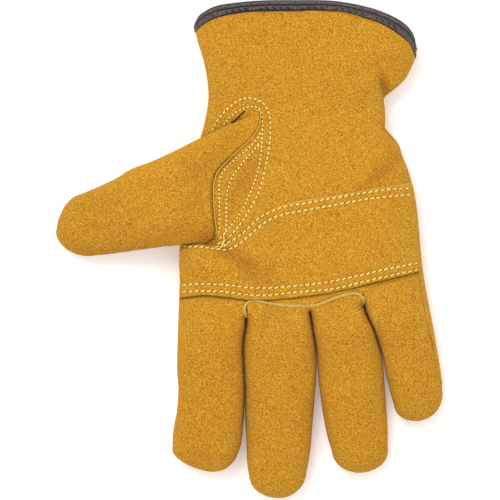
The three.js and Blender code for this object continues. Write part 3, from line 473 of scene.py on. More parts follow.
def hand_plan(rows, shares, lap=0.0):
    """Plan points of the hand, (rows, shares, 2): y is mixed between two neighbouring
    cross lines, and x between the two side outlines at that row's own ends."""
    rows = np.asarray(rows, float)[:, None]
    shares = np.asarray(shares, float)[None, :]
    k = np.minimum(rows.astype(int), len(LINES) - 2)

    def y_at(share):
        stack = np.stack([line(share) for line in LINES])
        return mix(
            np.take_along_axis(stack, k * np.ones_like(stack[:1], int), 0),
            np.take_along_axis(stack, (k + 1) * np.ones_like(stack[:1], int), 0),
            rows - k,
        )

    left = y_at(np.zeros(1))
    right = y_at(np.ones(1))
    beyond = np.clip((shares - BOUNDS[3]) / (1 - BOUNDS[3]), 0, 1)
    x = mix(radial_x(left), ulnar_x(right), shares) - lap * ulnar_lap(right) * beyond
    return np.stack(np.broadcast_arrays(x, y_at(shares[0])), -1)


def digit_plan(s, xi, left, right, start, tip, base):
    """Plan points (along, across) of a finger: s runs from its base (0) to its rounded
    end (1), and xi from its left side (-1) to its right (1). The end is a superellipse."""
    turn = (2 * tip["across"] - left(tip["left"]) - right(tip["right"])) / (
        right(tip["right"]) - left(tip["left"]))
    on_left = xi < turn
    shoulder = np.where(on_left, tip["left"], tip["right"])
    power = np.where(on_left, tip["power"][0], tip["power"][1])
    off = np.clip(np.abs(xi - turn) / np.where(on_left, 1 + turn, 1 - turn), 0, 1)
    end = shoulder + (tip["along"] - shoulder) * (1 - off**power) ** (1 / power)
    sides = mix(start[0], tip["left"], s), mix(start[1], tip["right"], s)
    free = np.minimum(3 * s, 1)
    across = mix(left(sides[0]), right(sides[1]), (xi + 1) / 2)
    along = mix(base(across, xi), end, s)
    for _ in range(6):
        across = mix(
            left(mix(sides[0], along, free)), right(mix(sides[1], along, free)), (xi + 1) / 2)
        along = mix(base(across, xi), end, s)
    return along, across


def finger_plan(k, s, xi, lap=0.0):
    """Plan points of finger k, from the row of crotches to its tip."""
    finger = FINGERS[k]
    start = [-float(LINES[ROOT_ROW](BOUNDS[k])), -float(LINES[ROOT_ROW](BOUNDS[k + 1]))]
    left = (
        curve([(start[0], CROTCH_X[k - 1]), *finger["left"]]) if "left" in finger
        else lambda down: radial_x(-down)
    )
    right = (
        curve([(start[1], CROTCH_X[k]), *finger["right"]]) if "right" in finger
        else lambda down: ulnar_x(-down) - lap * ulnar_lap(-down)
    )
    along, across = digit_plan(
        s, xi, left, right, start, finger["tip"],
        lambda _, side: -LINES[ROOT_ROW](mix(BOUNDS[k], BOUNDS[k + 1], (side + 1) / 2)))
    return np.stack(np.broadcast_arrays(across, -along), -1)


THUMB_TURNED = math.radians(THUMB_DEG)
thumb_seam = curve(THUMB_SEAM)
thumb_left = curve(THUMB_LEFT)
thumb_right = curve(THUMB_RIGHT)
thumb_top = curve(THUMB_HEIGHTS, 1)
thumb_under = curve(THUMB_HEIGHTS, 2)


def thumb_to_draft(along, across):
    """From the thumb's own axes to the drafting plane: a turn about its origin."""
    c, s = math.cos(THUMB_TURNED), math.sin(THUMB_TURNED)
    return np.stack(np.broadcast_arrays(
        THUMB_ORIGIN[0] - along * c + across * s, THUMB_ORIGIN[1] - along * s - across * c), -1)


def draft_to_thumb(x, y):
    """The reverse turn: (along, across) of drafting points."""
    c, s = math.cos(THUMB_TURNED), math.sin(THUMB_TURNED)
    dx, dy = x - THUMB_ORIGIN[0], y - THUMB_ORIGIN[1]
    return -dx * c - dy * s, dx * s - dy * c


def thumb_plan(s, xi):
    """Plan points of the thumb, from its seam on the palm to its tip."""
    along, across = digit_plan(
        s, xi, thumb_left, thumb_right, (THUMB_LEFT[0][0], THUMB_RIGHT[0][0]), THUMB_TIP,
        lambda across, _: thumb_seam(across))
    return thumb_to_draft(along, across)


HOLE_ENDS = draft_to_thumb(*thumb_plan(np.full(2, UNDER_STARTS), np.array([-1.0, 1.0])).T)
hole_edge = curve([*zip(HOLE_ENDS[1], HOLE_ENDS[0]), *THUMB_HOLE_EDGE])


def under_plan(s, xi):
    """Plan points of the thumb's underside, from the far edge of its hole to its tip. Its
    middle spreads straight from the hole's edge, and its sides keep to the outline."""
    t = np.clip(s / UNDER_JOINS, 0, 1)[..., None]
    across = mix(HOLE_ENDS[1][0], HOLE_ENDS[1][1], (xi + 1) / 2)
    first = thumb_to_draft(hole_edge(across), across)
    joined = thumb_plan(np.maximum(s, UNDER_JOINS), xi)
    side = thumb_plan(mix(UNDER_STARTS, UNDER_JOINS, t[..., 0]), xi)
    spread = mix(mix(first, joined, t), side, (np.abs(xi) ** UNDER_SQUARENESS)[..., None])
    return np.where(t < 1, spread, joined)


def side_steps(cells):
    """From -1 to 1 in steps that crowd towards both ends, as the cosine of equal angles."""
    return -np.cos(np.pi * np.linspace(0, 1, cells + 1))


def tip_steps(cells):
    """From 0 to 1 in steps that crowd towards 1."""
    return 1 - (1 - np.linspace(0, 1, cells + 1)) ** TIP_CROWDING


class Outline:
    """A plan outline of straight pieces with its inside on their left. Some of them border
    a slit between fingers. A notch is a sharp inward corner, open towards -Y."""

    def __init__(self, stretches, notches=()):
        points = np.concatenate([p for p, _ in stretches])
        flags = np.concatenate([np.full(len(p), flag) for p, flag in stretches])
        self.a, self.d, self.slit = points[:-1], np.diff(points, axis=0), flags[:-1]
        self.notches = np.reshape(notches, (-1, 2))

    def nearest(self, x, y, slit=None):
        """For each point, the distance to the nearest piece of one kind or of any, and
        the level direction from there outwards. A point just outside counts as on it."""
        use = slice(None) if slit is None else self.slit == slit
        a, d = self.a[use], self.d[use]
        length = np.maximum(np.hypot(*d.T), 1e-9)
        square = np.stack([d[:, 1], -d[:, 0]], -1) / length[:, None]
        flat = np.stack([np.ravel(x), np.ravel(y)], -1)
        gap, out = np.empty(len(flat)), np.empty_like(flat)
        for low in range(0, len(flat), POINTS_AT_ONCE):
            some = slice(low, low + POINTS_AT_ONCE)
            px, py = flat[some, :1] - a[:, 0], flat[some, 1:] - a[:, 1]
            t = np.clip((px * d[:, 0] + py * d[:, 1]) / length**2, 0, 1)
            px -= t * d[:, 0]
            py -= t * d[:, 1]
            far = px * px + py * py
            best = far.argmin(1)
            row = np.arange(len(best))
            off = np.stack([px[row, best], py[row, best]], -1)
            away = np.sqrt(far[row, best])
            beyond = ((off * square[best]).sum(-1) > 0) & (away < OUTSIDE_REACH)
            clear = (away > CLEAR_FROM) & ~beyond
            gap[some] = np.where(beyond, 0, away)
            out[some] = np.where(
                clear[:, None], -off / np.maximum(away, 1e-9)[:, None], square[best])
        for notch in self.notches:
            out[np.hypot(*(flat - notch).T) < NOTCH_REACH] = 0, -1
        return gap.reshape(np.shape(x)), out.reshape(*np.shape(x), 2)

    def distance(self, x, y, slit=None):
        """Distance from each point to the nearest piece of one kind, or of any."""
        return self.nearest(x, y, slit)[0]


def digit_sides(plan, left_slit, right_slit):
    """The left side, the end and the right side of a digit, as stretches of an outline."""
    s, xi = np.linspace(0, 1, OUTLINE_STEPS + 1), side_steps(OUTLINE_STEPS)
    ones = np.ones_like(s)
    return [
        (plan(s, -ones)[:-1], left_slit), (plan(ones, xi)[:-1], False),
        (plan(s[::-1], ones)[:-1], right_slit),
    ]


def hand_outline():
    """The outline of hand and fingers, from the cuff round to the cuff again."""
    rows = np.linspace(0, ROOT_ROW, OUTLINE_ROWS + 1)
    stretches = [(hand_plan(rows, [0.0])[:-1, 0], False)]
    for k in range(4):
        stretches += digit_sides(lambda s, xi: finger_plan(k, s, xi), k > 0, k < 3)
    stretches.append((hand_plan(rows[::-1], [1.0])[:, 0], False))
    crotches = [(x, LINES[ROOT_ROW](share)) for x, share in zip(CROTCH_X, BOUNDS[1:])]
    return Outline(stretches, crotches)


def thumb_outline():
    """The outline of the thumb, whose seam with the palm counts as the slit."""
    xi = side_steps(OUTLINE_STEPS)
    return Outline([
        *digit_sides(thumb_plan, False, False),
        (thumb_plan(np.zeros_like(xi), xi[::-1]), True),
    ])


HAND = hand_outline()
THUMB = thumb_outline()


def past_root(x, y, reach):
    """0 on the hand and 1 once a point lies the reach beyond the row of crotches."""
    share = np.clip((x - ROOT_ENDS[0]) / (ROOT_ENDS[1] - ROOT_ENDS[0]), 0, 1)
    return ramp(LINES[ROOT_ROW](share) - y, 0, reach)


def fold_rise(x, y):
    """Sum of the folds: each an elongated bell, rise * exp(-along^2 - across^2)."""
    total = np.zeros_like(x)
    for mx, my, deg, long, wide, rise in FOLDS.values():
        along, across = turned_by(x - mx, y - my, -deg)
        total = total + rise * np.exp(-(along / long) ** 2 - (across / wide) ** 2)
    return total


def front_height(x, y):
    """Height of the palm's side. It rises from the side seam by quarter curves taken on
    the distance to the outline, and each finger has a ridge of its own past the crotches.
    On the outline it stands half a seam gap above the seam."""
    outer, slit = HAND.distance(x, y, False), HAND.distance(x, y, True)
    down = past_root(x, y, FRONT_WALLS_LENGTH)
    sides = turned(outer, mix(PALM_TURN, FINGER_TURN, down), FRONT_FULLNESS) * turned(
        slit, mix(CROTCH_TURN, FINGER_TURN, down), FRONT_FULLNESS)
    finger = turned(np.minimum(outer, slit), FINGER_TURN, FRONT_FULLNESS)
    share = mix(sides, finger, past_root(x, y, FRONT_RIDGES_LENGTH))
    slim = LITTLE_SLIMMER * ramp(x, *LITTLE_FROM) * down
    seam = seam_height(y)
    z = seam + (top_height(y) - slim - seam + fold_rise(x, y) * (1 - down)) * share
    return np.where(np.minimum(outer, slit) < ON_OUTLINE, seam + SEAM_GAP / 2, z)


def back_height(x, y):
    """Height of the back's side: level on the table, turning up to the side seam."""
    outer, slit = HAND.distance(x, y, False), HAND.distance(x, y, True)
    down = past_root(x, y, BACK_WALLS_LENGTH)
    share = turned(outer, BACK_TURN) * turned(slit, mix(CROTCH_TURN, BACK_TURN, down))
    finger = turned(np.minimum(outer, slit), BACK_TURN)
    lift = RIM_LIFT * (1 - ramp(rim_over_x(x) - y, 3, RIM_LIFT_LENGTH))
    seam = seam_height(y)
    z = lift + (seam - lift) * (1 - mix(share, finger, down))
    return np.where(np.minimum(outer, slit) < ON_OUTLINE, seam - SEAM_GAP / 2, z)


def thumb_seam_height(x, y):
    """The thumb's side seam: it lies on the palm at its base, and runs at mid thickness
    further out."""
    along, across = draft_to_thumb(x, y)
    corner = THUMB_CORNER_LIFT * ramp(across, *THUMB_LIFT_FROM)
    on_palm = front_height(x, y) + THUMB_ON_PALM + corner
    off = ramp(along - thumb_seam(across), *THUMB_SIDE_FROM)
    side = mix(thumb_under(along), thumb_top(along), THUMB_SEAM_SHARE)
    return mix(on_palm, np.maximum(side, on_palm * (1 - off)), off)


def thumb_top_height(x, y):
    """Height of the thumb's top: a tight roll at the seam with the palm and then a slow
    rise, times a quarter ellipse on the distance to its free outline. It lies flat on the
    palm where its root ends, between the stitched loops."""
    seam = thumb_seam_height(x, y)
    along, across = draft_to_thumb(x, y)
    base = THUMB.distance(x, y, True)
    rise = (
        THUMB_ROLL_SHARE * turned(base, THUMB_SEAM_ROLL)
        + THUMB_RISE_SHARE * ramp(base, -2, THUMB_SEAM_RISE))
    from_end = np.hypot(along - THUMB_ROOT_END[0], across - THUMB_ROOT_END[1])
    flat = mix(THUMB_ROOT_FLAT, 1.0, ramp(from_end, *THUMB_ROOT_REACH))
    share = turned(THUMB.distance(x, y, False), THUMB_TURN, FRONT_FULLNESS) * rise * flat
    z = seam + (np.maximum(thumb_top(along), seam + 2) - seam) * share
    return np.where(THUMB.distance(x, y) < ON_OUTLINE, seam + 0.2, z)


def thumb_under_height(x, y):
    """Height of the thumb's underside, which droops from the palm to the table."""
    along, across = draft_to_thumb(x, y)
    from_hole = ramp(along - hole_edge(across), *THUMB_UNDER_FROM)
    low = mix(front_height(x, y) + THUMB_ON_PALM, thumb_under(along), from_hole)
    seam = thumb_seam_height(x, y)
    z = seam - (seam - low) * turned(THUMB.distance(x, y, False), BACK_TURN)
    return np.where(THUMB.distance(x, y) < ON_OUTLINE, seam - 0.2, z)


# Soft unevenness of worn leather: length, rise. Then the seeds of the panels
WAVES = ((31.0, 0.45), (15.0, 0.2), (7.0, 0.07))
PALM_SEED = 3
THUMB_SEED = 5


def waves(x, y, seed):
    """Soft unevenness of worn leather: for each length and rise, the mean of eight sines
    with seeded directions and phases."""
    rng = np.random.default_rng(seed)
    total = np.zeros_like(x)
    for length, rise in WAVES:
        for turn, phase in rng.uniform(0, 2 * np.pi, (8, 2)):
            k = 2 * np.pi / length
            total += rise / 3 * np.sin(k * (x * np.cos(turn) + y * np.sin(turn)) + phase)
    return total


def from_photo(pixels):
    """Pixels of the photograph as drafting points."""
    return (np.array(pixels, float) - PHOTO_MIDDLE) * [MM_PER_PIXEL, -MM_PER_PIXEL]


def along_route(points, step):
    """Points at even steps along the smooth line through the given points."""
    at = np.concatenate([[0], np.cumsum(np.linalg.norm(np.diff(points, axis=0), axis=1))])
    fine = np.linspace(0, at[-1], 40 * len(points))
    line = np.stack([
        curve(list(zip(at, points[:, k])))(fine) for k in range(points.shape[1])], -1)
    run = np.concatenate([[0], np.cumsum(np.linalg.norm(np.diff(line, axis=0), axis=1))])
    even = np.linspace(0, run[-1], max(int(round(run[-1] / step)), 1) + 1)
    return np.stack([np.interp(even, run, line[:, k]) for k in range(line.shape[1])], -1)


MARK_STEP = 0.5  # between the marks along a route
MARKS_AT_ONCE = 16


def nearness(x, y, routes, reach):
    """1 on any of the routes, falling off as exp(-(distance / reach)^2)."""
    marks = np.concatenate([along_route(route, MARK_STEP) for route in routes])
    near = np.zeros(np.shape(x))
    for low in range(0, len(marks), MARKS_AT_ONCE):
        some = marks[low:low + MARKS_AT_ONCE]
        close = (
            (x > some[:, 0].min() - 3 * reach) & (x < some[:, 0].max() + 3 * reach)
            & (y > some[:, 1].min() - 3 * reach) & (y < some[:, 1].max() + 3 * reach))
        if close.any():
            far = (x[close, None] - some[:, 0]) ** 2 + (y[close, None] - some[:, 1]) ** 2
            near[close] = np.maximum(near[close], np.exp(-far.min(-1) / reach**2))
    return near


ROUTES = {name: along_route(from_photo(p), 1.5) for name, p in STITCH_ROWS.items()}


def fold_shade(x, y):
    """How deep a point lies in the dents of the folds, from -1 on a ridge to 1. The
    upright wall at the outline takes little of it."""
    deep = -fold_rise(x, y) / FOLD_DEPTH
    level = mix(FOLD_SHADE_ON_WALL, 1, ramp(HAND.distance(x, y, False), *WALL_SHADE_REACH))
    return level * np.where(deep > 0, 1 - np.exp(-FOLD_SHADE_RATE * deep), np.maximum(deep, -1))


def cross_line(row):
    """A line across the palm as a route of plan points."""
    share = np.linspace(0, 1, 60)
    return hand_plan([float(row)], share, 1.0)[0]


def slit_crease(x, y):
    """Painted shade on the walls between two fingers, as far as they lie against each other."""
    until = np.interp(x, CROTCH_X, TOUCH_UNTIL)
    touching = past_root(x, y, SLIT_STARTS) * (
        1 - ramp(-y, until + SLIT_ENDS[0], until + SLIT_ENDS[1]))
    return bell(HAND.distance(x, y, True) / SLIT_REACH) * touching


def hand_crease(x, y):
    """Painted shade on the palm's side: in the slits between the fingers, along the patch's
    lower edge, along the seam of the little finger's side and above the thumb."""
    lines = {
        "patch": cross_line(PATCH_LOW_ROW), "lap": lap_line(), "thumb": from_photo(THUMB_EDGE)}
    shaded_lines = [
        strength * nearness(x, y, [lines[name]], reach)
        for name, (strength, reach) in PAINTED_SHADE_LINES.items()]
    return np.max([slit_crease(x, y), *shaded_lines], axis=0)


def thumb_crease(x, y):
    """Painted shade on the thumb: a thin line where it meets the palm, which widens towards
    the lower corner, and its lower edge where it lies over the palm."""
    _, across = draft_to_thumb(x, y)
    base = THUMB.distance(x, y, True)
    corner = ramp(across, *THUMB_CORNER_FROM)
    line = bell(base / mix(*THUMB_LINE_REACH, corner)) * ramp(across, *THUMB_LINE_FROM)
    edge = bell(THUMB.distance(x, y, False) / THUMB_EDGE_REACH) * ramp(across, *THUMB_EDGE_FROM)
    over_palm = ramp(x - radial_x(y), 0, 3)
    return np.maximum(
        mix(*THUMB_LINE_STRENGTH, corner) * line, THUMB_EDGE_STRENGTH * edge * over_palm)


def lap_line():
    """The seam of the little finger's side, where the back laps over onto the palm."""
    y = np.linspace(*LAP_RANGE, 80)
    return np.stack([ulnar_x(y) - ulnar_lap(y), y], -1)


def palm_waves(x, y, z):
    """The palm's soft unevenness, which fades towards its side seams."""
    return waves(x, y, PALM_SEED) * ramp(z - seam_height(y), 1, 9)


def side_seam(x, y, z):
    """1 on the side seam and less away from it, and 0 where two fingers touch."""
    return bell((z - seam_height(y)) / SEAM_REACH) * ramp(HAND.distance(x, y, True), 0.3, 3)


def palm_relief(x, y, z, sizes):
    """How far the front stands out along its normal: soft waves, less a groove along
    each stitch row and each seam."""
    groove = nearness(x, y, [ROUTES[name] for name in ROWS_ON_PALM], GROOVE_REACH)
    lap = nearness(x, y, [lap_line()], GROOVE_REACH)
    seam = side_seam(x, y, z)
    return (
        palm_waves(x, y, z) - sizes.stitch_groove / MM * groove
        - sizes.seam_roll / MM * np.maximum(seam, lap)
    )


def weld(grids):
    """One mesh from grids of points, (rows, columns, 3 or more): points in one place
    become one corner, and each four-sided face is split along its shorter diagonal."""
    points = np.concatenate([g.reshape(-1, g.shape[-1]) for g in grids])
    _, first, where = np.unique(
        np.round(points[:, :3] * WELD_PER_MM).astype(np.int64), axis=0, return_index=True,
        return_inverse=True)
    where = where.ravel()
    quads, start = [], 0
    for g in grids:
        at = where[start:start + g.shape[0] * g.shape[1]].reshape(g.shape[:2])
        start += at.size
        quads.append(np.stack(
            [at[:-1, :-1], at[1:, :-1], at[1:, 1:], at[:-1, 1:]], -1).reshape(-1, 4))
    return points[first], halves(points[first, :3], np.concatenate(quads))


def halves(points, quads):
    """Four-sided faces as triangles, leaving out those with a corner named twice."""
    a, b, c, d = (points[quads[:, i]] for i in range(4))
    short = (np.linalg.norm(a - c, axis=1) <= np.linalg.norm(b - d, axis=1))[:, None]
    both = np.concatenate([
        np.where(short, quads[:, [0, 1, 2]], quads[:, [0, 1, 3]]),
        np.where(short, quads[:, [0, 2, 3]], quads[:, [1, 2, 3]])])
    whole = (both != both[:, [1, 2, 0]]).all(1)
    return both[whole]


def rim_of(faces, count):
    """The directed edges of a skin that only one face has."""
    edges = np.concatenate([faces[:, [0, 1]], faces[:, [1, 2]], faces[:, [2, 0]]])
    ahead = edges[:, 0] * count + edges[:, 1]
    back = edges[:, 1] * count + edges[:, 0]
    return edges[~np.isin(ahead, back)]


def corner_normals(points, faces):
    """At each corner, the direction of the sum of its faces' normals by area."""
    a, b, c = (points[faces[:, i]] for i in range(3))
    n = np.repeat(np.cross(b - a, c - a), 3, axis=0)
    total = np.stack(
        [np.bincount(faces.ravel(), n[:, k], len(points)) for k in range(3)], -1)
    return total / np.maximum(np.linalg.norm(total, axis=1, keepdims=True), 1e-12)


def skin(grids, side, outline, relief):
    """A skin that faces up (side 1) or down (-1), moved along its normals by its relief.
    The normals turn level and square to the outline as the wall comes near it."""
    points, faces = weld(grids)
    if corner_normals(points, faces)[:, 2].sum() * side < 0:
        faces = faces[:, ::-1]
    distance, level = outline.nearest(points[:, 0], points[:, 1])
    near = 1 - ramp(distance, *WALL_PULL_REACH)
    pull = WALL_PULL * near[:, None] * np.pad(level, ((0, 0), (0, 1)))

    def normals():
        n = corner_normals(points, faces) + pull
        return n / np.linalg.norm(n, axis=1, keepdims=True)

    points = points + normals() * relief(*points.T)[:, None]
    return points, faces, normals()


def wall(points, faces, normals, top, bottom):
    """A closed wall between a skin moved by top and by bottom along its normals, with
    its rim joined up."""
    count = len(points)
    both = np.concatenate([
        points + normals * np.reshape(top, (-1, 1)),
        points + normals * np.reshape(bottom, (-1, 1))])
    rim = rim_of(faces, count)
    edge = np.stack([rim[:, 1], rim[:, 0], rim[:, 0] + count, rim[:, 1] + count], -1)
    return both, np.concatenate([faces, faces[:, ::-1] + count, halves(both, edge)])


def outwards(points, faces):
    """The faces of a closed mesh, turned over if they point in."""
    a, b, c = (points[faces[:, i]] for i in range(3))
    inside_out = np.einsum("ij,ij->", a - points.mean(0), np.cross(b - a, c - a)) < 0
    return faces[:, ::-1] if inside_out else faces


def tube(sections, loop=False):
    """A closed body through sections, (stations, sides, 3), looped or drawn to a point
    in the middle of each end."""
    grid = np.concatenate([sections, sections[:, :1]], 1)
    if loop:
        grid = np.concatenate([grid, grid[:1]])
    else:
        ends = [np.broadcast_to(s.mean(0), grid[0].shape) for s in (sections[0], sections[-1])]
        grid = np.concatenate([ends[0][None], grid, ends[1][None]])
    points, faces = weld([grid])
    return points, outwards(points[:, :3], faces)


def linear(code):
    """A colour such as "C98E2F" from display values to linear light."""
    display = np.array([int(code[i:i + 2], 16) for i in (0, 2, 4)]) / 255
    return tuple(np.where(display <= 0.04045, display / 12.92, ((display + 0.055) / 1.055) ** 2.4))


def add_piece(name, points, faces, material, slot, nodes=(), **attributes):
    """Adds a smooth mesh that rides on the glove and stands for the named CAD nodes."""
    old = bpy.data.objects.get(name)
    if old:
        bpy.data.objects.remove(old, do_unlink=True)
    mesh = bpy.data.meshes.new(name)
    used, corners = np.unique(faces, return_inverse=True)
    at = (points[used] + [*DRAFT_ZERO, 0.0]) * MM
    mesh.from_pydata(at, [], corners.reshape(faces.shape))
    if mesh.validate():
        raise RuntimeError(f"{name} has faces that can't be used")
    mesh.polygons.foreach_set("use_smooth", np.ones(len(mesh.polygons), bool))
    mesh.set_sharp_from_angle(angle=math.radians(SHARP_DEGREES))
    for key, values in attributes.items():
        mesh.attributes.new(key, "FLOAT", "POINT").data.foreach_set(
            "value", np.asarray(values, np.float32)[used])
    mesh.materials.append(material)
    piece = bpy.data.objects.new(name, mesh)
    bpy.context.scene.collection.objects.link(piece)
    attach(piece, "root")
    if nodes:
        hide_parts(*nodes)
    return piece


def add_node(tree, kind, inputs=None, **settings):
    """Adds a shader node. An input is a socket to link or a value to set."""
    node = tree.nodes.new(kind)
    for name, value in settings.items():
        setattr(node, name, value)
    for name, value in (inputs or {}).items():
        if isinstance(value, bpy.types.NodeSocket):
            tree.links.new(value, node.inputs[name])
        else:
            node.inputs[name].default_value = value
    return node


def new_material(name):
    """An empty node material of that name, and its tree."""
    material = bpy.data.materials.get(name) or bpy.data.materials.new(name)
    material.use_nodes = True
    material.node_tree.nodes.clear()
    return material, material.node_tree


def finished(tree, **inputs):
    """Ends a material with a principled shader of these inputs."""
    named = {key.replace("_", " "): value for key, value in inputs.items()}
    shader = add_node(tree, "ShaderNodeBsdfPrincipled", named)
    add_node(tree, "ShaderNodeOutputMaterial", {"Surface": shader.outputs["BSDF"]})


def noise(tree, vector, size_mm, detail=2.0, roughness=0.5):
    """Noise whose blots are about that many millimetres across."""
    return add_node(tree, "ShaderNodeTexNoise", {
        "Vector": vector, "Scale": 1 / (size_mm * MM), "Detail": detail,
        "Roughness": roughness}).outputs["Fac"]


def colour_ramp(tree, factor, stops):
    """A colour ramp through (position, colour) stops."""
    node = add_node(tree, "ShaderNodeValToRGB", {"Fac": factor})
    ramp_stops = node.color_ramp.elements
    while len(ramp_stops) < len(stops):
        ramp_stops.new(0.5)
    for stop, (position, colour) in zip(ramp_stops, stops):
        stop.position = position
        stop.color = (*colour, 1.0)
    return node.outputs["Color"]


def blend(tree, kind, factor, a, b):
    """Two colours blended in the given way."""
    node = add_node(tree, "ShaderNodeMix", data_type="RGBA", blend_type=kind)
    for socket, value in zip((node.inputs[0], node.inputs[6], node.inputs[7]), (factor, a, b)):
        if isinstance(value, bpy.types.NodeSocket):
            tree.links.new(value, socket)
        else:
            socket.default_value = value
    return node.outputs[2]


def attribute(tree, name):
    """The values of a mesh attribute."""
    return add_node(tree, "ShaderNodeAttribute", attribute_name=name).outputs["Fac"]


def bumped(tree, height, strength, depth_mm):
    """Normals tilted as by a relief of that depth."""
    return add_node(tree, "ShaderNodeBump", {
        "Height": height, "Strength": strength, "Distance": depth_mm * MM}).outputs["Normal"]


def mottled(name, grain, stops):
    """A new material with its tree, a noise of that grain (millimetres, detail, roughness),
    and the colour that follows it."""
    material, tree = new_material(name)
    place = add_node(tree, "ShaderNodeTexCoord").outputs["Object"]
    blots = noise(tree, place, *grain)
    return material, tree, blots, colour_ramp(tree, blots, stops)


# The suede's nap: fibres across and two ways, patches and clouds in millimetres, with the
# tints that they multiply into the colour
NAP_FIBRE, NAP_LONGER, NAP_WAYS = 0.45, 2, (42, -48)
PATCHES = (9, 3, 0.6)
PATCH_TINTS = [(0.3, (0.935, 0.925, 0.91)), (0.7, (1, 1, 1))]
CLOUDS = (48, 2)
CLOUD_TINTS = [(0.3, (0.985, 0.94, 0.92)), (0.7, (0.965, 1, 1))]
# Tints of the painted shade: towards the outline, and in the dents, at the fingertips and on the
# thumb
OUTLINE_SHADE_TINTS = [(0.0, (1, 1, 1)), (1.0, (0.955, 1, 1))]
PAINTED_SHADE_TINTS = [(0.0, (1, 1, 1)), (1.0, (0.62, 0.54, 0.5))]


def suede(colours):
    """Brushed golden suede. It gives the eye a matt surface, flecked by the nap's crossed
    fibres, with cloudy patches where the nap is brushed another way."""
    material, tree = new_material("golden_suede")
    place = add_node(tree, "ShaderNodeTexCoord").outputs["Object"]
    # Fibres 0.9 mm long and 0.45 mm wide lie along both diagonals
    nap = blend(tree, "MIX", 0.5, *(
        noise(tree, add_node(
            tree, "ShaderNodeMapping",
            {"Vector": place, "Rotation": (0, 0, math.radians(turn)),
             "Scale": (NAP_LONGER, 1, 1)},
            vector_type="TEXTURE").outputs["Vector"], NAP_FIBRE, 2, 0.5)
        for turn in NAP_WAYS))
    brushed = noise(tree, place, *PATCHES)  # patches of the nap, 5 to 10 mm
    cloud = noise(tree, place, *CLOUDS)  # uneven dye over 50 mm
    fleck = colour_ramp(tree, nap, [
        (0.35, colours.suede_dark), (0.5, colours.suede), (0.65, colours.suede_light)])
    patch = colour_ramp(tree, brushed, PATCH_TINTS)
    dye = colour_ramp(tree, cloud, CLOUD_TINTS)
    colour = blend(tree, "MULTIPLY", 1.0, blend(tree, "MULTIPLY", 1.0, fleck, patch), dye)
    # Painted shade: the colour turns a little less red, and so yellower, towards the outline, where
    # the leather turns down to a side
    side = attribute(tree, "side")
    tips = colour_ramp(tree, side, OUTLINE_SHADE_TINTS)
    colour = blend(tree, "MULTIPLY", 1.0, colour, tips)
    # The patch's cut edge in its own lighter colour, shown on its top edge only as a painted
    # highlight
    raw = attribute(tree, "cut_edge")
    colour = blend(tree, "MIX", raw, colour, (*colours.raw_edge, 1))
    # Painted shade: the colour turns browner in the folds' dents, towards the fingertips and on the
    # thumb's lower side and corner
    dent = attribute(tree, "dent")
    shade = colour_ramp(tree, dent, PAINTED_SHADE_TINTS)
    colour = blend(tree, "MULTIPLY", 1.0, colour, shade)
    # Painted shade along the slits between the fingers, the patch's lower edge, the little finger's
    # side seam and the thumb's edges
    crease = attribute(tree, "crease")
    colour = blend(tree, "MIX", crease, colour, (*colours.crease, 1))
    bump = bumped(tree, nap, 0.35, 0.35)
    finished(
        tree, Base_Color=colour, Roughness=0.95, Sheen_Weight=0.03, Sheen_Roughness=0.6,
        Specular_IOR_Level=0.08, Normal=bump)
    return material


def rolled_tape(colours):
    """Dull grey-brown woven tape. It gives the eye a darker, slightly glossier line than
    the suede round the cuff, mottled where the weave shows."""
    # Threads of 0.3 to 0.9 mm
    material, tree, weave, colour = mottled(
        "grey_brown_tape", (0.9, 3, 0.6), [(0.35, colours.tape_dark), (0.65, colours.tape)])
    # Dark thread where the tape is sewn down, and painted shade in the groove under the roll, on its
    # lower edge and on its top
    dip = attribute(tree, "dip")
    colour = blend(tree, "MIX", dip, colour, (*colours.tape_thread_and_shade, 1))
    speck = attribute(tree, "speck")
    colour = blend(tree, "MIX", speck, colour, (*colours.raw_edge, 1))
    bump = bumped(tree, weave, 0.5, 0.2)
    finished(tree, Base_Color=colour, Roughness=0.7, Specular_IOR_Level=0.3, Normal=bump)
    return material


def cut_leather(name, dark, light):
    """The cut edge of a strip of hide. It gives the eye a light line in the seams."""
    # Fibres of 0.4 to 1.2 mm
    material, tree, _, colour = mottled(name, (1.2, 3, 0.6), [(0.3, dark), (0.7, light)])
    finished(tree, Base_Color=colour, Roughness=0.9, Specular_IOR_Level=0.15)
    return material


def spun_thread(colours):
    """Waxed pale yellow thread. It gives the eye plump bright dashes with a soft gleam."""
    # Blots of 3 mm, so that stitches differ a little from each other
    material, tree, _, colour = mottled(
        "waxed_yellow_thread", (3, 2, 0.5), [(0.3, colours.thread_dark), (0.7, colours.thread)])
    finished(tree, Base_Color=colour, Roughness=0.55, Specular_IOR_Level=0.3)
    return material


def backlit_acrylic(colours):
    """White acrylic lit from below, as in a studio. It gives the eye a clean white ground
    with only a faint shadow."""
    material, tree = new_material("backlit_white_acrylic")
    finished(tree, Base_Color=(*colours.floor, 1), Roughness=0.9, Specular_IOR_Level=0.1,
             Emission_Color=(1, 1, 1, 1), Emission_Strength=FLOOR_GLOW)
    return material


def plain(name, colour, roughness):
    """A plain matt surface of one colour."""
    material, tree = new_material(name)
    finished(tree, Base_Color=(*colour, 1), Roughness=roughness, Specular_IOR_Level=0.1)
    return material


def hand_rows():
    """Row numbers of the hand's grid, in even cells between neighbouring cross lines."""
    parts = [k + np.arange(cells) / cells for k, cells in enumerate(CELLS_BETWEEN)]
    return np.concatenate([*parts, [ROOT_ROW]])


def shares_of(k):
    """Shares of the width at the columns of finger k."""
    return mix(BOUNDS[k], BOUNDS[k + 1], (side_steps(CELLS_PER_FINGER) + 1) / 2)


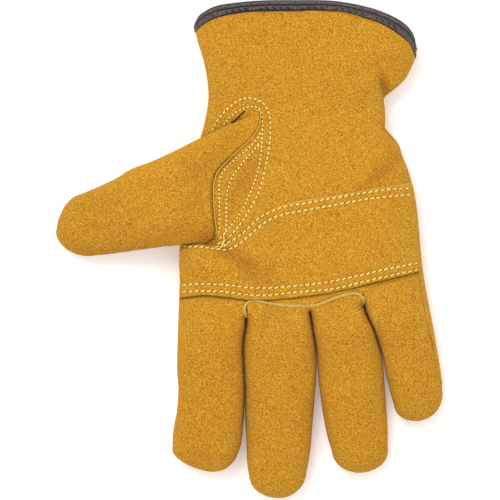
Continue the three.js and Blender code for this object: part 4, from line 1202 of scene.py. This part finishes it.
def clear_of_welt(at, shares, inside):
    """Moves the front away from the welt, which runs across on its line and down both
    outer crotches. The push fades over four times its own length."""
    push = WELT_SLOT / 2
    y = at[..., 1]
    width = ROOT_ENDS[1] - ROOT_ENDS[0]
    left, right = (shares - BOUNDS[1]) * width, (BOUNDS[3] - shares) * width

    def near(t):
        return 1 - ramp(t, 0, 4 * push)

    line = LINES[WELT_ROW](shares)
    beyond = 1 - ramp(LINES[ROOT_ROW](shares) - y, 0, 5)
    if inside:
        dx = push * (near(left) - near(right)) * beyond
        dy = -push * near(line - y)
    else:
        above = near(np.maximum(y - line, 0))
        dx = push * (near(np.abs(right)) - near(np.abs(left))) * above * beyond
        dy = push * near(np.abs(y - line)) * near(np.maximum(-np.minimum(left, right), 0))
    return at + np.stack([dx, dy], -1)


def on_skin(plan, height):
    """Plan points with their height as third coordinate."""
    return np.concatenate([plan, height(plan[..., 0], plan[..., 1])[..., None]], -1)


def finger_grid(k, lap):
    """Plan points of finger k from crotch to tip, and the shares of their columns."""
    xi = side_steps(CELLS_PER_FINGER)[None, :]
    s = tip_steps(CELLS_ALONG_FINGER)[:, None]
    plan = finger_plan(k, *np.broadcast_arrays(s, xi), lap=lap)
    return plan, np.broadcast_to(shares_of(k), plan.shape[:2])


def front_grids(fingers, inside):
    """Grids of the palm with these fingers or, inside the welt, of these fingers alone."""
    grids = []
    rows = hand_rows()
    for k in range(4):
        own = k in fingers
        if not own and inside:
            continue
        keep = rows
        if inside:
            keep = rows[rows >= WELT_ROW - 1e-9]
        elif not own:
            keep = rows[rows <= WELT_ROW + 1e-9]
        shares = shares_of(k)
        plan = clear_of_welt(hand_plan(keep, shares, 1.0), shares[None, :], inside)
        grids.append(on_skin(plan, front_height))
        if own:
            plan, shares = finger_grid(k, 1.0)
            grids.append(on_skin(clear_of_welt(plan, shares, inside), front_height))
    return grids


def lap_grid(edge, lapped):
    """The strip of the back that climbs the little finger's side, as far as the front's
    edge, where it stops a seam's gap short."""
    t = np.linspace(0, 1, 9)[None, :, None]
    reach = np.linalg.norm(edge - lapped, axis=-1)[:, None]
    gone = reach < LEAST_LAP / 2
    drawn = mix(edge[:, None], (lapped + np.array([SEAM_GAP * 0.6, 0]))[:, None], t)
    plan = np.where(gone[..., None], edge[:, None], drawn)
    grid = on_skin(plan, front_height)
    start = on_skin(edge, back_height)[:, None]
    return np.where(gone[..., None] | (t == 0), start, grid)


def back_grids():
    """Grids of the back of the hand, its four fingers and its strip over the side."""
    rows = hand_rows()
    grids = [on_skin(hand_plan(rows, shares_of(k)), back_height) for k in range(4)]
    grids += [on_skin(finger_grid(k, 0.0)[0], back_height) for k in range(4)]
    ones = np.ones(CELLS_ALONG_FINGER + 1)
    s = tip_steps(CELLS_ALONG_FINGER)
    grids.append(lap_grid(hand_plan(rows, [1.0])[:, 0], hand_plan(rows, [1.0], 1.0)[:, 0]))
    grids.append(lap_grid(finger_plan(3, s, ones), finger_plan(3, s, ones, 1.0)))
    return grids


def inside_polygon(x, y, corners):
    """Whether points lie in a polygon, by counting the sides that a ray crosses."""
    a, b = corners, np.roll(corners, -1, axis=0)
    spans = (a[:, 1] > y[:, None]) != (b[:, 1] > y[:, None])
    rise = np.where(b[:, 1] == a[:, 1], 1e-9, b[:, 1] - a[:, 1])
    at = a[:, 0] + (y[:, None] - a[:, 1]) * (b[:, 0] - a[:, 0]) / rise
    return (spans & (x[:, None] < at)).sum(1) % 2 == 1


def thumb_hole():
    """Outline of the thumb's hole in the palm, within the margin that carries the thumb."""
    q = np.linspace(*HOLE_RANGE, 41)
    near_side = thumb_to_draft(thumb_seam(q) + HOLE_MARGIN, q)
    far_side = thumb_to_draft(hole_edge(q) - HOLE_MARGIN, q)
    return np.concatenate([near_side, far_side[::-1]])


def thumb_grid(plan, height):
    """A grid of one side of the thumb."""
    s, xi = np.meshgrid(tip_steps(THUMB_CELLS[1]), side_steps(THUMB_CELLS[0]), indexing="ij")
    return [on_skin(plan(s, xi), height)]


def surface_normals(x, y, height, nudge=0.3):
    """Upward normals of a height field, by differences over the nudge."""
    dx = (height(x + nudge, y) - height(x - nudge, y)) / (2 * nudge)
    dy = (height(x, y + nudge) - height(x, y - nudge)) / (2 * nudge)
    n = np.stack([-dx, -dy, np.ones_like(dx)], -1)
    return n / np.linalg.norm(n, axis=-1, keepdims=True)


# A stitch: its height over its width, how far its middle stands out and its ends dip in
# as shares of its radius, and how far it slants to its row in degrees
STITCH_FLAT = 0.85
STITCH_PROUD = 0.45
STITCH_BOW = 0.75
PALM_SLANT = 5
PATCH_SLANT = 11
# A needle hole's painted shade, a small dark piece: its length, its radius over the thread's
# thickness and its bow
HOLE_LENGTH = 0.8
HOLE_WIDTH = 0.4
HOLE_BOW = 0.1
KNOT_BOW = 0.5
KNOT_LIFT = 0.4
ROWS_SUNK = 0.7  # how deep the stitches lie in their groove


def one_stitch():
    """A plump stitch one unit long and thick: its radius is the fourth root shape
    sqrt(1 - along^4), and it bows so that its ends dip into the leather."""
    at = np.sin(np.linspace(-np.pi / 2, np.pi / 2, 9))[:, None]
    turn = np.linspace(0, 2 * np.pi, 10, endpoint=False)[None, :]
    radius = np.sqrt(1 - at**4)
    grid = np.stack(np.broadcast_arrays(at / 2, radius * np.cos(turn), radius * np.sin(turn)), -1)
    return tube(grid[1:-1])


def sewn(centres, directions, normals, lengths, radius, bow=STITCH_BOW):
    """Stitches at these centres, laid along their directions on a surface."""
    points, faces = one_stitch()
    directions = directions - normals * (directions * normals).sum(-1, keepdims=True)
    directions /= np.linalg.norm(directions, axis=-1, keepdims=True)
    sides = np.cross(normals, directions)
    dip = radius * (STITCH_PROUD - bow * (2 * points[:, 0]) ** 2)
    at = (
        centres[:, None]
        + directions[:, None] * (points[None, :, :1] * np.reshape(lengths, (-1, 1, 1)))
        + sides[:, None] * points[None, :, 1:2] * radius
        + normals[:, None] * (points[None, :, 2:] * radius * STITCH_FLAT + dip[None, :, None])
    )
    offsets = np.arange(len(centres))[:, None, None] * len(points)
    return at.reshape(-1, 3), (faces[None] + offsets).reshape(-1, 3)


def slanted(directions, degrees):
    """Plan directions turned by an angle."""
    x, y = turned_by(directions[..., 0], directions[..., 1], degrees)
    return np.stack([x, y, np.zeros_like(x)], -1)


def row_of_stitches(route, pitch, share, height, slant):
    """Centres, directions, normals and lengths of the stitches along a plan route."""
    marks = along_route(route, pitch)
    step = np.diff(marks, axis=0)
    middles = (marks[1:] + marks[:-1]) / 2
    x, y = middles.T
    at = np.stack([x, y, height(x, y)], -1)
    lengths = np.linalg.norm(step, axis=1)
    ways = slanted(step / lengths[:, None], slant)
    return at, ways, surface_normals(x, y, height), lengths * share


STRIP_ROUND = 0.6  # power of the superellipse that a strip is across


def strip(points, normals, width, low, high):
    """A rounded strip of leather on edge along a line, from low to high off the skin."""
    ahead = np.gradient(points, axis=0)
    sides = np.cross(ahead, normals)
    sides /= np.linalg.norm(sides, axis=1, keepdims=True)
    turn = np.linspace(0, 2 * np.pi, 16, endpoint=False)
    c, s = np.cos(turn), np.sin(turn)
    out = np.sign(c) * np.abs(c) ** STRIP_ROUND * width / 2
    up = (low + high) / 2 + np.sign(s) * np.abs(s) ** STRIP_ROUND * (high - low) / 2
    return tube(
        points[:, None] + sides[:, None] * out[None, :, None]
        + normals[:, None] * up[None, :, None])


def add_strip(name, route, material, slot, *nodes):
    """Adds the strip of that name along a route on the palm."""
    step, nudge, width, low, high = STRIPS[name]
    line = along_route(route, step)
    normals = surface_normals(line[:, 0], line[:, 1], front_height, nudge)
    body = strip(on_skin(line, front_height), normals, width, low, high)
    add_piece(name, *body, material, slot, nodes)


def smoothed(loop, reach):
    """Each row of a closed loop as the mean of the rows up to the reach on both sides."""
    shifts = range(-reach, reach + 1)
    return sum(np.roll(loop, shift, axis=0) for shift in shifts) / len(shifts)


def rim_loop(sizes):
    """The cuff's rim and the tape's edge below it, as closed loops of points with their
    outward normals, at even steps round the cuff."""
    u = (side_steps(160) + 1) / 2
    loops = []
    for row in (RIM_ROW, TAPE_ROW):
        front = on_skin(hand_plan([float(row)], u, 1.0)[0], front_height)
        back = on_skin(hand_plan([float(row)], u)[0], back_height)
        front_n = surface_normals(front[:, 0], front[:, 1], front_height, RIM_NUDGE)
        back_n = -surface_normals(back[:, 0], back[:, 1], back_height, RIM_NUDGE)
        front_n[[0, -1]] = back_n[[0, -1]] = [[-1, 0, 0], [1, 0, 0]]
        loop = np.concatenate([
            np.concatenate([front, front_n], 1), np.concatenate([back, back_n], 1)[-2:0:-1]])
        drawn_in = sizes.seam_roll / MM * side_seam(*loop[:, :3].T)
        loop[:, :3] -= loop[:, 3:] * drawn_in[:, None]
        loops.append(loop)
    closed = [np.concatenate([loop, loop[:1]]) for loop in loops]
    run = np.cumsum(np.linalg.norm(np.diff(closed[0][:, :3], axis=0), axis=1))
    run = np.concatenate([[0], run])
    count = int(run[-1] / (sizes.tape_pitch / MM) + 0.5) * TAPE_STATIONS
    even = np.linspace(0, run[-1], count, endpoint=False)
    rim, deep = (
        np.stack([np.interp(even, run, loop[:, k]) for k in range(6)], -1) for loop in closed)
    # Places and directions are averaged over a few millimetres, so that the tape turns
    # smoothly round the two side seams
    rim[:, :3], deep = smoothed(rim[:, :3], TAPE_SMOOTHED // 2), smoothed(deep, TAPE_SMOOTHED)
    rim[:, 3:] = smoothed(rim[:, 3:], TAPE_SMOOTHED)
    return rim, deep


def length_property(name, description, default, low, high):
    """A length of the glove or its picture, given in millimetres."""
    return bpy.props.FloatProperty(
        name=name, description=description, default=default * MM, min=low * MM,
        max=high * MM, precision=4, unit="LENGTH")


class GloveSizes(bpy.types.PropertyGroup):
    """Sizes of the leather, seams and thread."""

    leather: length_property("Leather", "Thickness of the panels", 1.5, 0.5, 3)
    patch_leather: length_property("Patch", "Thickness of the palm patch", 1.1, 0.5, 3)
    patch_lift: length_property("Patch lift", "Gap between the patch and the palm", 0.2, 0.1, 1)
    seam_roll: length_property(
        "Seam roll", "How far the leather draws in at a sewn seam", 0.45, 0, 2)
    stitch_groove: length_property(
        "Stitch groove", "How far a row of stitches pulls into the leather", 0.4, 0, 1)
    thread: length_property("Thread", "Thickness of a stitch on the palm", 0.68, 0.3, 2)
    stitch_share: bpy.props.FloatProperty(
        name="Stitch share", description="Length of a stitch, as a share of the pitch",
        default=0.8, min=0.4, max=1.0, subtype="FACTOR")
    palm_pitch: length_property(
        "Palm pitch", "From stitch to stitch round the thumb", 2.6, 1.5, 6)
    loop_pitch: length_property(
        "Loop pitch", "From stitch to stitch on the inner thumb rows", 2.15, 1.5, 6)
    patch_pitch: length_property(
        "Patch pitch", "From stitch to stitch on the palm patch", 3.1, 1.5, 6)
    tape: length_property("Tape", "Thickness of the tape round the cuff", 1.0, 0.4, 2)
    tape_pitch: length_property(
        "Tape pitch", "From dip to dip where the tape is sewn down", 3.5, 1.5, 6)
    camera_lens: bpy.props.FloatProperty(
        name="Lens", description="Focal length of the camera in millimetres",
        default=400.0, min=50.0, max=1000.0, subtype="DISTANCE_CAMERA")
    camera_field: length_property(
        "Field", "Width of the picture at the height of the side seams", 255, 100, 1000)


def colour_property(name, description, code):
    """A colour of the glove, given by its display code."""
    return bpy.props.FloatVectorProperty(
        name=name, description=description, default=linear(code), size=3, min=0.0, max=1.0,
        subtype="COLOR")


class GloveColours(bpy.types.PropertyGroup):
    """Colours of the materials, in linear light."""

    suede: colour_property("Suede", "Golden suede in even light", "C38724")
    suede_dark: colour_property("Suede shade", "Between the nap's fibres", "945A12")
    suede_light: colour_property("Suede tips", "Tips of the nap", "E2B03A")
    raw_edge: colour_property("Cut edge", "Cut edge of the suede", "CEA453")
    seam_shade: colour_property("Seam shade", "Inside an open seam", "251506")
    # Colour of the painted shade along the slits between the fingers, the patch's lower edge, the
    # side seam and the thumb's edges
    crease: colour_property("Crease", "Soiled nap in seams and creases", "553809")
    welt: colour_property("Welt", "Undyed strip in the fingers' seam", "D4B564")
    welt_dark: colour_property("Welt shade", "Fibres of the undyed strip", "B08D40")
    thumb_edge: colour_property("Thumb's edge", "Golden strip beside the thumb", "E0B84E")
    thumb_edge_dark: colour_property("Thumb's edge shade", "Fibres of that strip", "C49430")
    tape: colour_property("Tape", "Threads of the cuff's tape", "675A58")
    tape_dark: colour_property("Tape shade", "Between the tape's threads", "3C3332")
    # Colour of the dark thread where the tape is sewn down, and of the painted shade in its groove,
    # on its lower edge and on its top
    tape_thread_and_shade: colour_property("Tape dips", "Dark thread and edge of the tape", "1A1722")
    thread: colour_property("Thread", "Stitches in full light", "F5E893")
    thread_dark: colour_property("Thread shade", "Duller stitches", "E4CB68")
    # Colour of the dark pieces painted as the shade in the needle holes
    hole_painted_shade: colour_property("Needle holes", "Shade where the thread goes in", "8A661C")
    floor: colour_property("Floor", "The pale floor", "FDFDFD")


class GloveOperator:
    """What the operators share: they can be undone, and show in the Glove sidebar."""

    bl_options = {"REGISTER", "UNDO"}

    def parts(self, context):
        """The sizes and colours set in the scene."""
        return context.scene.glove_sizes, context.scene.glove_colours


def painted_shades(points):
    """The painted shade attributes of both faces of a wall on the palm's side: along lines, in the
    folds' dents and towards the fingertips, and towards the outline.
    """
    x, y = points[:, 0], points[:, 1]
    dent = fold_shade(x, y) + FINGER_SHADE * past_root(x, y, SHADE_LENGTH)
    side = bell(HAND.distance(x, y, False) / OUTLINE_SHADE_REACH)
    found = {"crease": hand_crease(x, y), "dent": dent, "side": side}
    return {key: np.tile(values, 2) for key, values in found.items()}


class GLOVE_OT_palm_front(GloveOperator, bpy.types.Operator):
    """Builds the palm with the fronts of the index and little fingers"""

    bl_idname = "glove.palm_front"
    bl_label = "Palm and Outer Fingers"

    def execute(self, context):
        sizes, colours = self.parts(context)
        points, faces, normals = skin(
            front_grids((0, 3), False), 1, HAND, lambda x, y, z: palm_relief(x, y, z, sizes))
        middles = points[faces].mean(1)
        in_hole = inside_polygon(middles[:, 0], middles[:, 1], thumb_hole())
        add_piece(
            "palm_leather",
            *wall(points, faces[~in_hole], normals, 0, -sizes.leather / MM),
            suede(colours), "suede", ["palm_front"], **painted_shades(points))
        return {"FINISHED"}


class GLOVE_OT_finger_fronts(GloveOperator, bpy.types.Operator):
    """Builds the fronts of the middle and ring fingers, set in below the welt"""

    bl_idname = "glove.finger_fronts"
    bl_label = "Set-in Fingers"

    def execute(self, context):
        sizes, colours = self.parts(context)
        made = skin(
            front_grids((1, 2), True), 1, HAND, lambda x, y, z: palm_relief(x, y, z, sizes))
        add_piece(
            "set_in_fingers_leather", *wall(*made, 0, -sizes.leather / MM),
            suede(colours), "suede", ["finger_fronts"], **painted_shades(made[0]))
        return {"FINISHED"}


class GLOVE_OT_back(GloveOperator, bpy.types.Operator):
    """Builds the back of the hand and all four fingers"""

    bl_idname = "glove.back"
    bl_label = "Back"

    def execute(self, context):
        sizes, colours = self.parts(context)

        def relief(x, y, z):
            seam = side_seam(x, y, z) * (ulnar_lap(y) < 0.01)
            lap = nearness(x, y, [lap_line()], GROOVE_REACH) * (z > seam_height(y) + 1)
            return -sizes.seam_roll / MM * np.maximum(seam, lap)

        made = skin(back_grids(), -1, HAND, relief)
        # Painted shade on its walls between the fingers
        add_piece(
            "back_leather", *wall(*made, 0, -sizes.leather / MM), suede(colours), "suede",
            ["back"], crease=np.tile(slit_crease(made[0][:, 0], made[0][:, 1]), 2))
        return {"FINISHED"}


class GLOVE_OT_thumb(GloveOperator, bpy.types.Operator):
    """Builds the thumb's top and underside"""

    bl_idname = "glove.thumb"
    bl_label = "Thumb"

    def execute(self, context):
        sizes, colours = self.parts(context)

        def relief(x, y, z):
            seam = bell((z - thumb_seam_height(x, y)) / SEAM_REACH)
            on_palm = 1 - ramp(THUMB.distance(x, y, True), 0.5, 3)
            return waves(x, y, THUMB_SEED) * (1 - seam) - sizes.seam_roll / MM * seam * (1 - on_palm)

        top = skin(thumb_grid(thumb_plan, thumb_top_height), 1, THUMB, relief)
        under = skin(thumb_grid(under_plan, thumb_under_height), -1, THUMB, relief)
        thickness = -sizes.leather / MM
        # Painted shade on the thumb's top: darker at its lower corner, towards its tip and on its
        # lower side, less where its upper root is lit; the outline's painted shade is also less
        # there
        x, y = top[0][:, 0], top[0][:, 1]
        corner = np.hypot(x - THUMB_CORNER[0], y - THUMB_CORNER[1]) / THUMB_CORNER_REACH
        along, across = draft_to_thumb(x, y)
        lit = (1 - ramp(across, -30, 8)) * (1 - ramp(along, 0, 45))
        dent = (
            THUMB_SHADE["corner"] * bell(corner) + FINGER_SHADE * ramp(along, 20, 70)
            - THUMB_SHADE["lit"] * lit + THUMB_SHADE["lower_side"] * ramp(across, 2, 20))
        side = THUMB_OUTLINE_SHADE["even"] - THUMB_OUTLINE_SHADE["lit"] * lit
        add_piece("thumb_top_leather", *wall(*top, 0, thickness), suede(colours), "suede",
                  ["thumb_top"], crease=np.tile(thumb_crease(x, y), 2),
                  dent=np.tile(dent, 2), side=np.tile(side, 2))
        add_piece("thumb_under_leather", *wall(*under, 0, thickness), suede(colours), "suede",
                  ["thumb_under"])
        # A dark strip painted as the shadow in the gap between the thumb's root and the palm
        add_strip("thumb_root_painted_shadow", from_photo(THUMB_GAP),
                  plain("shade_inside_seam", colours.seam_shade, 0.9), "suede")
        return {"FINISHED"}


def patch_height(sizes):
    """Height of the patch's top over the palm, as a function of plan points."""
    lift = (sizes.patch_lift + sizes.patch_leather) / MM

    def height(x, y):
        z = front_height(x, y)
        return z + palm_waves(x, y, z) + lift

    return height


class GLOVE_OT_palm_patch(GloveOperator, bpy.types.Operator):
    """Builds the reinforcing patch across the palm"""

    bl_idname = "glove.palm_patch"
    bl_label = "Palm Patch"

    def execute(self, context):
        sizes, colours = self.parts(context)
        edge = np.array(PATCH_EDGE_ROWS)
        middle = np.linspace(
            PATCH_TOP_ROW + PATCH_INNER_ROWS, PATCH_LOW_ROW - PATCH_INNER_ROWS, 60)
        rows = np.concatenate([PATCH_TOP_ROW + edge, middle, PATCH_LOW_ROW - edge[::-1]])
        u = np.concatenate([shares_of(k)[1 if k else 0:] for k in range(4)])
        u = np.clip(u, PATCH_STARTS, 1)
        grid = on_skin(hand_plan(rows, u, 1.0), front_height)
        stitched = [ROUTES[name] for name in ROWS_ON_PATCH]

        points, faces, normals = skin([grid], 1, HAND, palm_waves)
        x, y = points[:, 0], points[:, 1]
        share = (x - radial_x(y)) / (ulnar_x(y) - radial_x(y))
        from_edge = np.maximum(np.minimum(
            LINES[PATCH_TOP_ROW](share) - y, y - LINES[PATCH_LOW_ROW](share)), 0)
        lift, thickness = sizes.patch_lift / MM, sizes.patch_leather / MM
        at_edge, rounded = PATCH_EDGE_SHARES
        round_over = at_edge + rounded * turned(from_edge, PATCH_EDGE_ROUND)
        groove = sizes.stitch_groove / MM * nearness(x, y, stitched, GROOVE_REACH)
        top = lift + thickness * round_over - groove
        # Its cut edge is partly its own lighter colour: a painted highlight along the top edge, and
        # painted shade along the lower edge
        cut = bell(from_edge / PATCH_CUT_REACH)
        is_top = y > x * 0.2 - 5
        both, made = wall(points, faces, normals, top, lift)
        shade_values = painted_shades(points)
        add_piece(
            "patch_leather", both, made, suede(colours), "suede", ["palm_patch"],
            cut_edge=np.tile(PATCH_EDGE_LIGHT_AND_SHADE["top"] * cut * is_top, 2),
            crease=np.tile(PATCH_EDGE_LIGHT_AND_SHADE["low"] * cut * ~is_top, 2),
            dent=shade_values["dent"], side=shade_values["side"])
        return {"FINISHED"}


class GLOVE_OT_cuff_binding(GloveOperator, bpy.types.Operator):
    """Builds the tape that is rolled over the cuff's edge and sewn down in a row of dips"""

    bl_idname = "glove.cuff_binding"
    bl_label = "Cuff Binding"

    def execute(self, context):
        sizes, colours = self.parts(context)
        rim, deep = rim_loop(sizes)
        tape, wall_half = sizes.tape / MM, sizes.leather / MM / 2
        normal = rim[:, 3:] / np.linalg.norm(rim[:, 3:], axis=1, keepdims=True)
        up = rim[:, :3] - deep[:, :3]
        width = np.linalg.norm(up, axis=1, keepdims=True)
        up = up / width

        # The tape lies flatter where it turns round the two side seams
        x, y = rim[:, 0], rim[:, 1]
        from_sides = np.stack([x - radial_x(y), ulnar_x(y) - x], -1)
        slim = mix(np.array(TAPE_SLIMMEST), 1, ramp(from_sides, 0, 12)).min(1)[:, None]

        # Stations over the tape: share of its width, height over the rim, way out
        share = np.linspace(0, 1, 25)
        turn = np.linspace(0, np.pi, 11)[1:]
        inner = wall_half + TAPE_CLEARANCE
        outer = inner + tape + curve(TAPE_FACE)(share)
        rise = np.concatenate([share, np.ones(len(turn)), [0.7, 0.4, 0]])
        roll = np.concatenate([np.zeros(len(share)), TAPE_ROLL * np.sin(turn), np.zeros(3)])
        side = np.concatenate([np.ones(len(share)), np.cos(turn), -np.ones(3)])
        face = np.concatenate([outer, np.full(len(turn) + 3, outer[-1])])

        # Dips of the sewing, dark as dark thread and as painted shade, and painted shade in the
        # groove under the roll, on the dark lower edge and on the roll's top
        station = np.arange(len(rim))[:, None]
        on_face = (roll == 0) & (side > 0)
        twist = station / TAPE_STATIONS + TAPE_DIP_SLANT * (rise - TAPE_SEWN)
        sewn_at = (0.5 + 0.5 * np.cos(2 * np.pi * twist)) ** TAPE_DIP_POWER
        sewn_at = sewn_at * ramp(from_sides.min(1), 4, 9)[:, None]
        dip = on_face * sewn_at * np.exp(-(((rise - TAPE_SEWN) / TAPE_DIP_HALF) ** 4))
        middle = ramp(rim[:, :1], *TAPE_MIDDLE[0]) * (1 - ramp(rim[:, :1], *TAPE_MIDDLE[1]))
        groove = bell((rise - TAPE_GROOVE) / mix(*TAPE_GROOVE_HALF, middle))
        edge = np.exp(-((rise / mix(*TAPE_EDGE_HALF, middle)) ** 4))
        top = ramp(roll / TAPE_ROLL, *TAPE_TOP_FROM)
        dark = np.clip(
            on_face * (TAPE_THREAD_AND_SHADE["groove"] * groove + TAPE_THREAD_AND_SHADE["edge"] * edge)
            + TAPE_THREAD_AND_SHADE["dip"] * dip + TAPE_THREAD_AND_SHADE["top"] * top, 0, 1)
        speck = TAPE_SPECK * dip**3 * (station // TAPE_STATIONS % 11 % 6 == 1)

        def lay(out, over):
            at = deep[:, None, :3] + up[:, None] * (rise * width + over)[..., None]
            return at + normal[:, None] * (out - wall_half)[..., None]

        outside = lay((side * face - TAPE_DIP_DEPTH * tape * dip) * slim, roll * face * slim)
        inside = lay(side * inner * slim, roll * inner * slim)
        colouring = np.stack([dark, np.broadcast_to(speck, dark.shape)], -1)
        section = np.concatenate([
            np.concatenate([outside, colouring], -1),
            np.concatenate([inside, colouring], -1)[:, ::-1]], 1)
        points, faces = tube(section, loop=True)
        add_piece("rolled_cuff_tape", points[:, :3], faces, rolled_tape(colours), "binding",
                  ["cuff_binding"], dip=points[:, 3], speck=points[:, 4])
        return {"FINISHED"}


class GLOVE_OT_welts(GloveOperator, bpy.types.Operator):
    """Builds the pale strips in the seam of the set-in fingers and beside the thumb"""

    bl_idname = "glove.welts"
    bl_label = "Welts"

    def execute(self, context):
        _, colours = self.parts(context)
        undyed = cut_leather("undyed_welt", colours.welt_dark, colours.welt)
        add_strip("finger_welt_strip", from_photo(FINGER_WELT), undyed, "welt", "finger_welt")
        xi = np.linspace(*EDGE_RANGE, 120)
        seam = thumb_plan(np.zeros_like(xi), xi)
        ahead = np.gradient(seam, axis=0)
        ahead /= np.linalg.norm(ahead, axis=1, keepdims=True)
        beside = seam + EDGE_BESIDE_SEAM * np.stack([-ahead[:, 1], ahead[:, 0]], -1)
        golden = cut_leather("golden_cut_edge", colours.thumb_edge_dark, colours.thumb_edge)
        add_strip("thumb_raw_edge", beside[::3], golden, "welt", "thumb_welt")
        return {"FINISHED"}


class GLOVE_OT_stitching(GloveOperator, bpy.types.Operator):
    """Sews the rows round the thumb and along the patch, and knots them where they meet"""

    bl_idname = "glove.stitching"
    bl_label = "Stitching"

    def execute(self, context):
        sizes, colours = self.parts(context)
        groove = ROWS_SUNK * sizes.stitch_groove / MM

        def palm(x, y):
            z = front_height(x, y)
            return z + palm_waves(x, y, z) - groove

        on_patch = patch_height(sizes)

        def patch(x, y):
            return on_patch(x, y) - groove

        rows = [
            row_of_stitches(ROUTES[name], pitch, sizes.stitch_share, height, slant)
            for names, pitch, height, slant in (
                (("thumb_outer",), sizes.palm_pitch / MM, palm, PALM_SLANT),
                (ROWS_ON_PALM[1:], sizes.loop_pitch / MM, palm, PALM_SLANT),
                (ROWS_ON_PATCH, sizes.patch_pitch / MM, patch, PATCH_SLANT),
            )
            for name in names
        ]
        parts = [np.concatenate(column) for column in zip(*rows)]
        points, faces = sewn(*parts, sizes.thread / MM / 2)
        add_piece("stitching", points, faces, spun_thread(colours), "thread")

        # A dark piece painted as the shade in a needle hole lies where each stitch of a row meets
        # the next one
        ends = [
            ((at[1:] + at[:-1]) / 2, along[1:], normals[1:],
             np.full(len(at) - 1, HOLE_LENGTH))
            for at, along, normals, _ in rows
        ]
        parts = [np.concatenate(column) for column in zip(*ends)]
        points, faces = sewn(*parts, sizes.thread / MM * HOLE_WIDTH, HOLE_BOW)
        add_piece("painted_needle_hole_shade", points, faces,
                  plain("needle_hole_shade", colours.hole_painted_shade, 0.9), "thread")

        px, py, turn, length = np.array(KNOT).T
        x, y = from_photo(np.stack([px, py], -1)).T
        at = np.stack([x, y, patch(x, y) + KNOT_LIFT], -1)
        turn = np.radians(turn)
        along = np.stack([np.cos(turn), np.sin(turn), np.zeros_like(turn)], -1)
        up = np.tile([0.0, 0.0, 1.0], (len(at), 1))
        points, faces = sewn(at, along, up, length, sizes.thread / MM / 2, KNOT_BOW)
        add_piece("thread_knot", points, faces, spun_thread(colours), "thread")
        return {"FINISHED"}


class GLOVE_OT_stage(GloveOperator, bpy.types.Operator):
    """Sets the glove on a pale floor under soft light, seen straight from above"""

    bl_idname = "glove.stage"
    bl_label = "Stage"

    def execute(self, context):
        sizes, colours = self.parts(context)
        scene = context.scene
        mesh = bpy.data.meshes.new("floor")
        half = FLOOR_HALF
        mesh.from_pydata(
            [(-half, -half, 0), (half, -half, 0), (half, half, 0), (-half, half, 0)], [],
            [(0, 1, 2, 3)])
        mesh.materials.append(backlit_acrylic(colours))
        floor = bpy.data.objects.new("floor", mesh)
        floor.location.z = -FLOOR_DROP
        scene.collection.objects.link(floor)

        overhead = bpy.data.lights.new("soft_overhead", "AREA")
        overhead.shape, overhead.size, overhead.energy = "DISK", LAMP_WIDTH, LAMP_POWER
        lamp = bpy.data.objects.new("soft_overhead", overhead)
        lamp.location = LAMP_PLACE
        lamp.rotation_euler = (-lamp.location).to_track_quat("-Z", "Y").to_euler()
        scene.collection.objects.link(lamp)

        world = bpy.data.worlds.new("pale_room")
        world.use_nodes = True
        world.node_tree.nodes.clear()
        room = add_node(world.node_tree, "ShaderNodeBackground", {
            "Color": (1, 1, 1, 1), "Strength": 1.0})
        add_node(world.node_tree, "ShaderNodeOutputWorld", {
            "Surface": room.outputs["Background"]})
        scene.world = world
        scene.view_settings.view_transform = "Standard"

        lens = bpy.data.cameras.new("straight_down")
        lens.lens, lens.sensor_width = sizes.camera_lens, SENSOR_WIDTH
        camera = bpy.data.objects.new("straight_down", lens)
        away = sizes.camera_field * sizes.camera_lens / lens.sensor_width + MIDDLE_HEIGHT
        camera.location = (DRAFT_ZERO[0] * MM, DRAFT_ZERO[1] * MM, away)
        lens.clip_start, lens.clip_end = NEAR_CLIP, FAR_CLIP
        scene.collection.objects.link(camera)
        scene.camera = camera
        return {"FINISHED"}


OPERATORS = (
    GLOVE_OT_palm_front, GLOVE_OT_finger_fronts, GLOVE_OT_back, GLOVE_OT_thumb,
    GLOVE_OT_palm_patch, GLOVE_OT_cuff_binding, GLOVE_OT_welts, GLOVE_OT_stitching,
    GLOVE_OT_stage,
)


class GLOVE_PT_sidebar(bpy.types.Panel):
    """Sizes, colours and the operators of the glove"""

    bl_idname = "GLOVE_PT_sidebar"
    bl_label = "Leather Driver Glove"
    bl_space_type = "VIEW_3D"
    bl_region_type = "UI"
    bl_category = "Glove"

    def draw(self, context):
        for group in (context.scene.glove_sizes, context.scene.glove_colours):
            box = self.layout.box()
            for name in group.bl_rna.properties.keys():
                if name not in ("rna_type", "name"):
                    box.prop(group, name)
        for operator in OPERATORS:
            self.layout.operator(operator.bl_idname)


CLASSES = (GloveSizes, GloveColours, *OPERATORS, GLOVE_PT_sidebar)


def register():
    for made in CLASSES:
        bpy.utils.register_class(made)
    bpy.types.Scene.glove_sizes = bpy.props.PointerProperty(type=GloveSizes)
    bpy.types.Scene.glove_colours = bpy.props.PointerProperty(type=GloveColours)


def unregister():
    del bpy.types.Scene.glove_colours
    del bpy.types.Scene.glove_sizes
    for made in reversed(CLASSES):
        bpy.utils.unregister_class(made)


def main():
    """Registers the add-on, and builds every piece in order."""
    register()
    for operator in OPERATORS:
        group, name = operator.bl_idname.split(".")
        if getattr(getattr(bpy.ops, group), name)() != {"FINISHED"}:
            raise RuntimeError(f"{operator.bl_idname} did not finish")


if __name__ == "__main__":
    main()
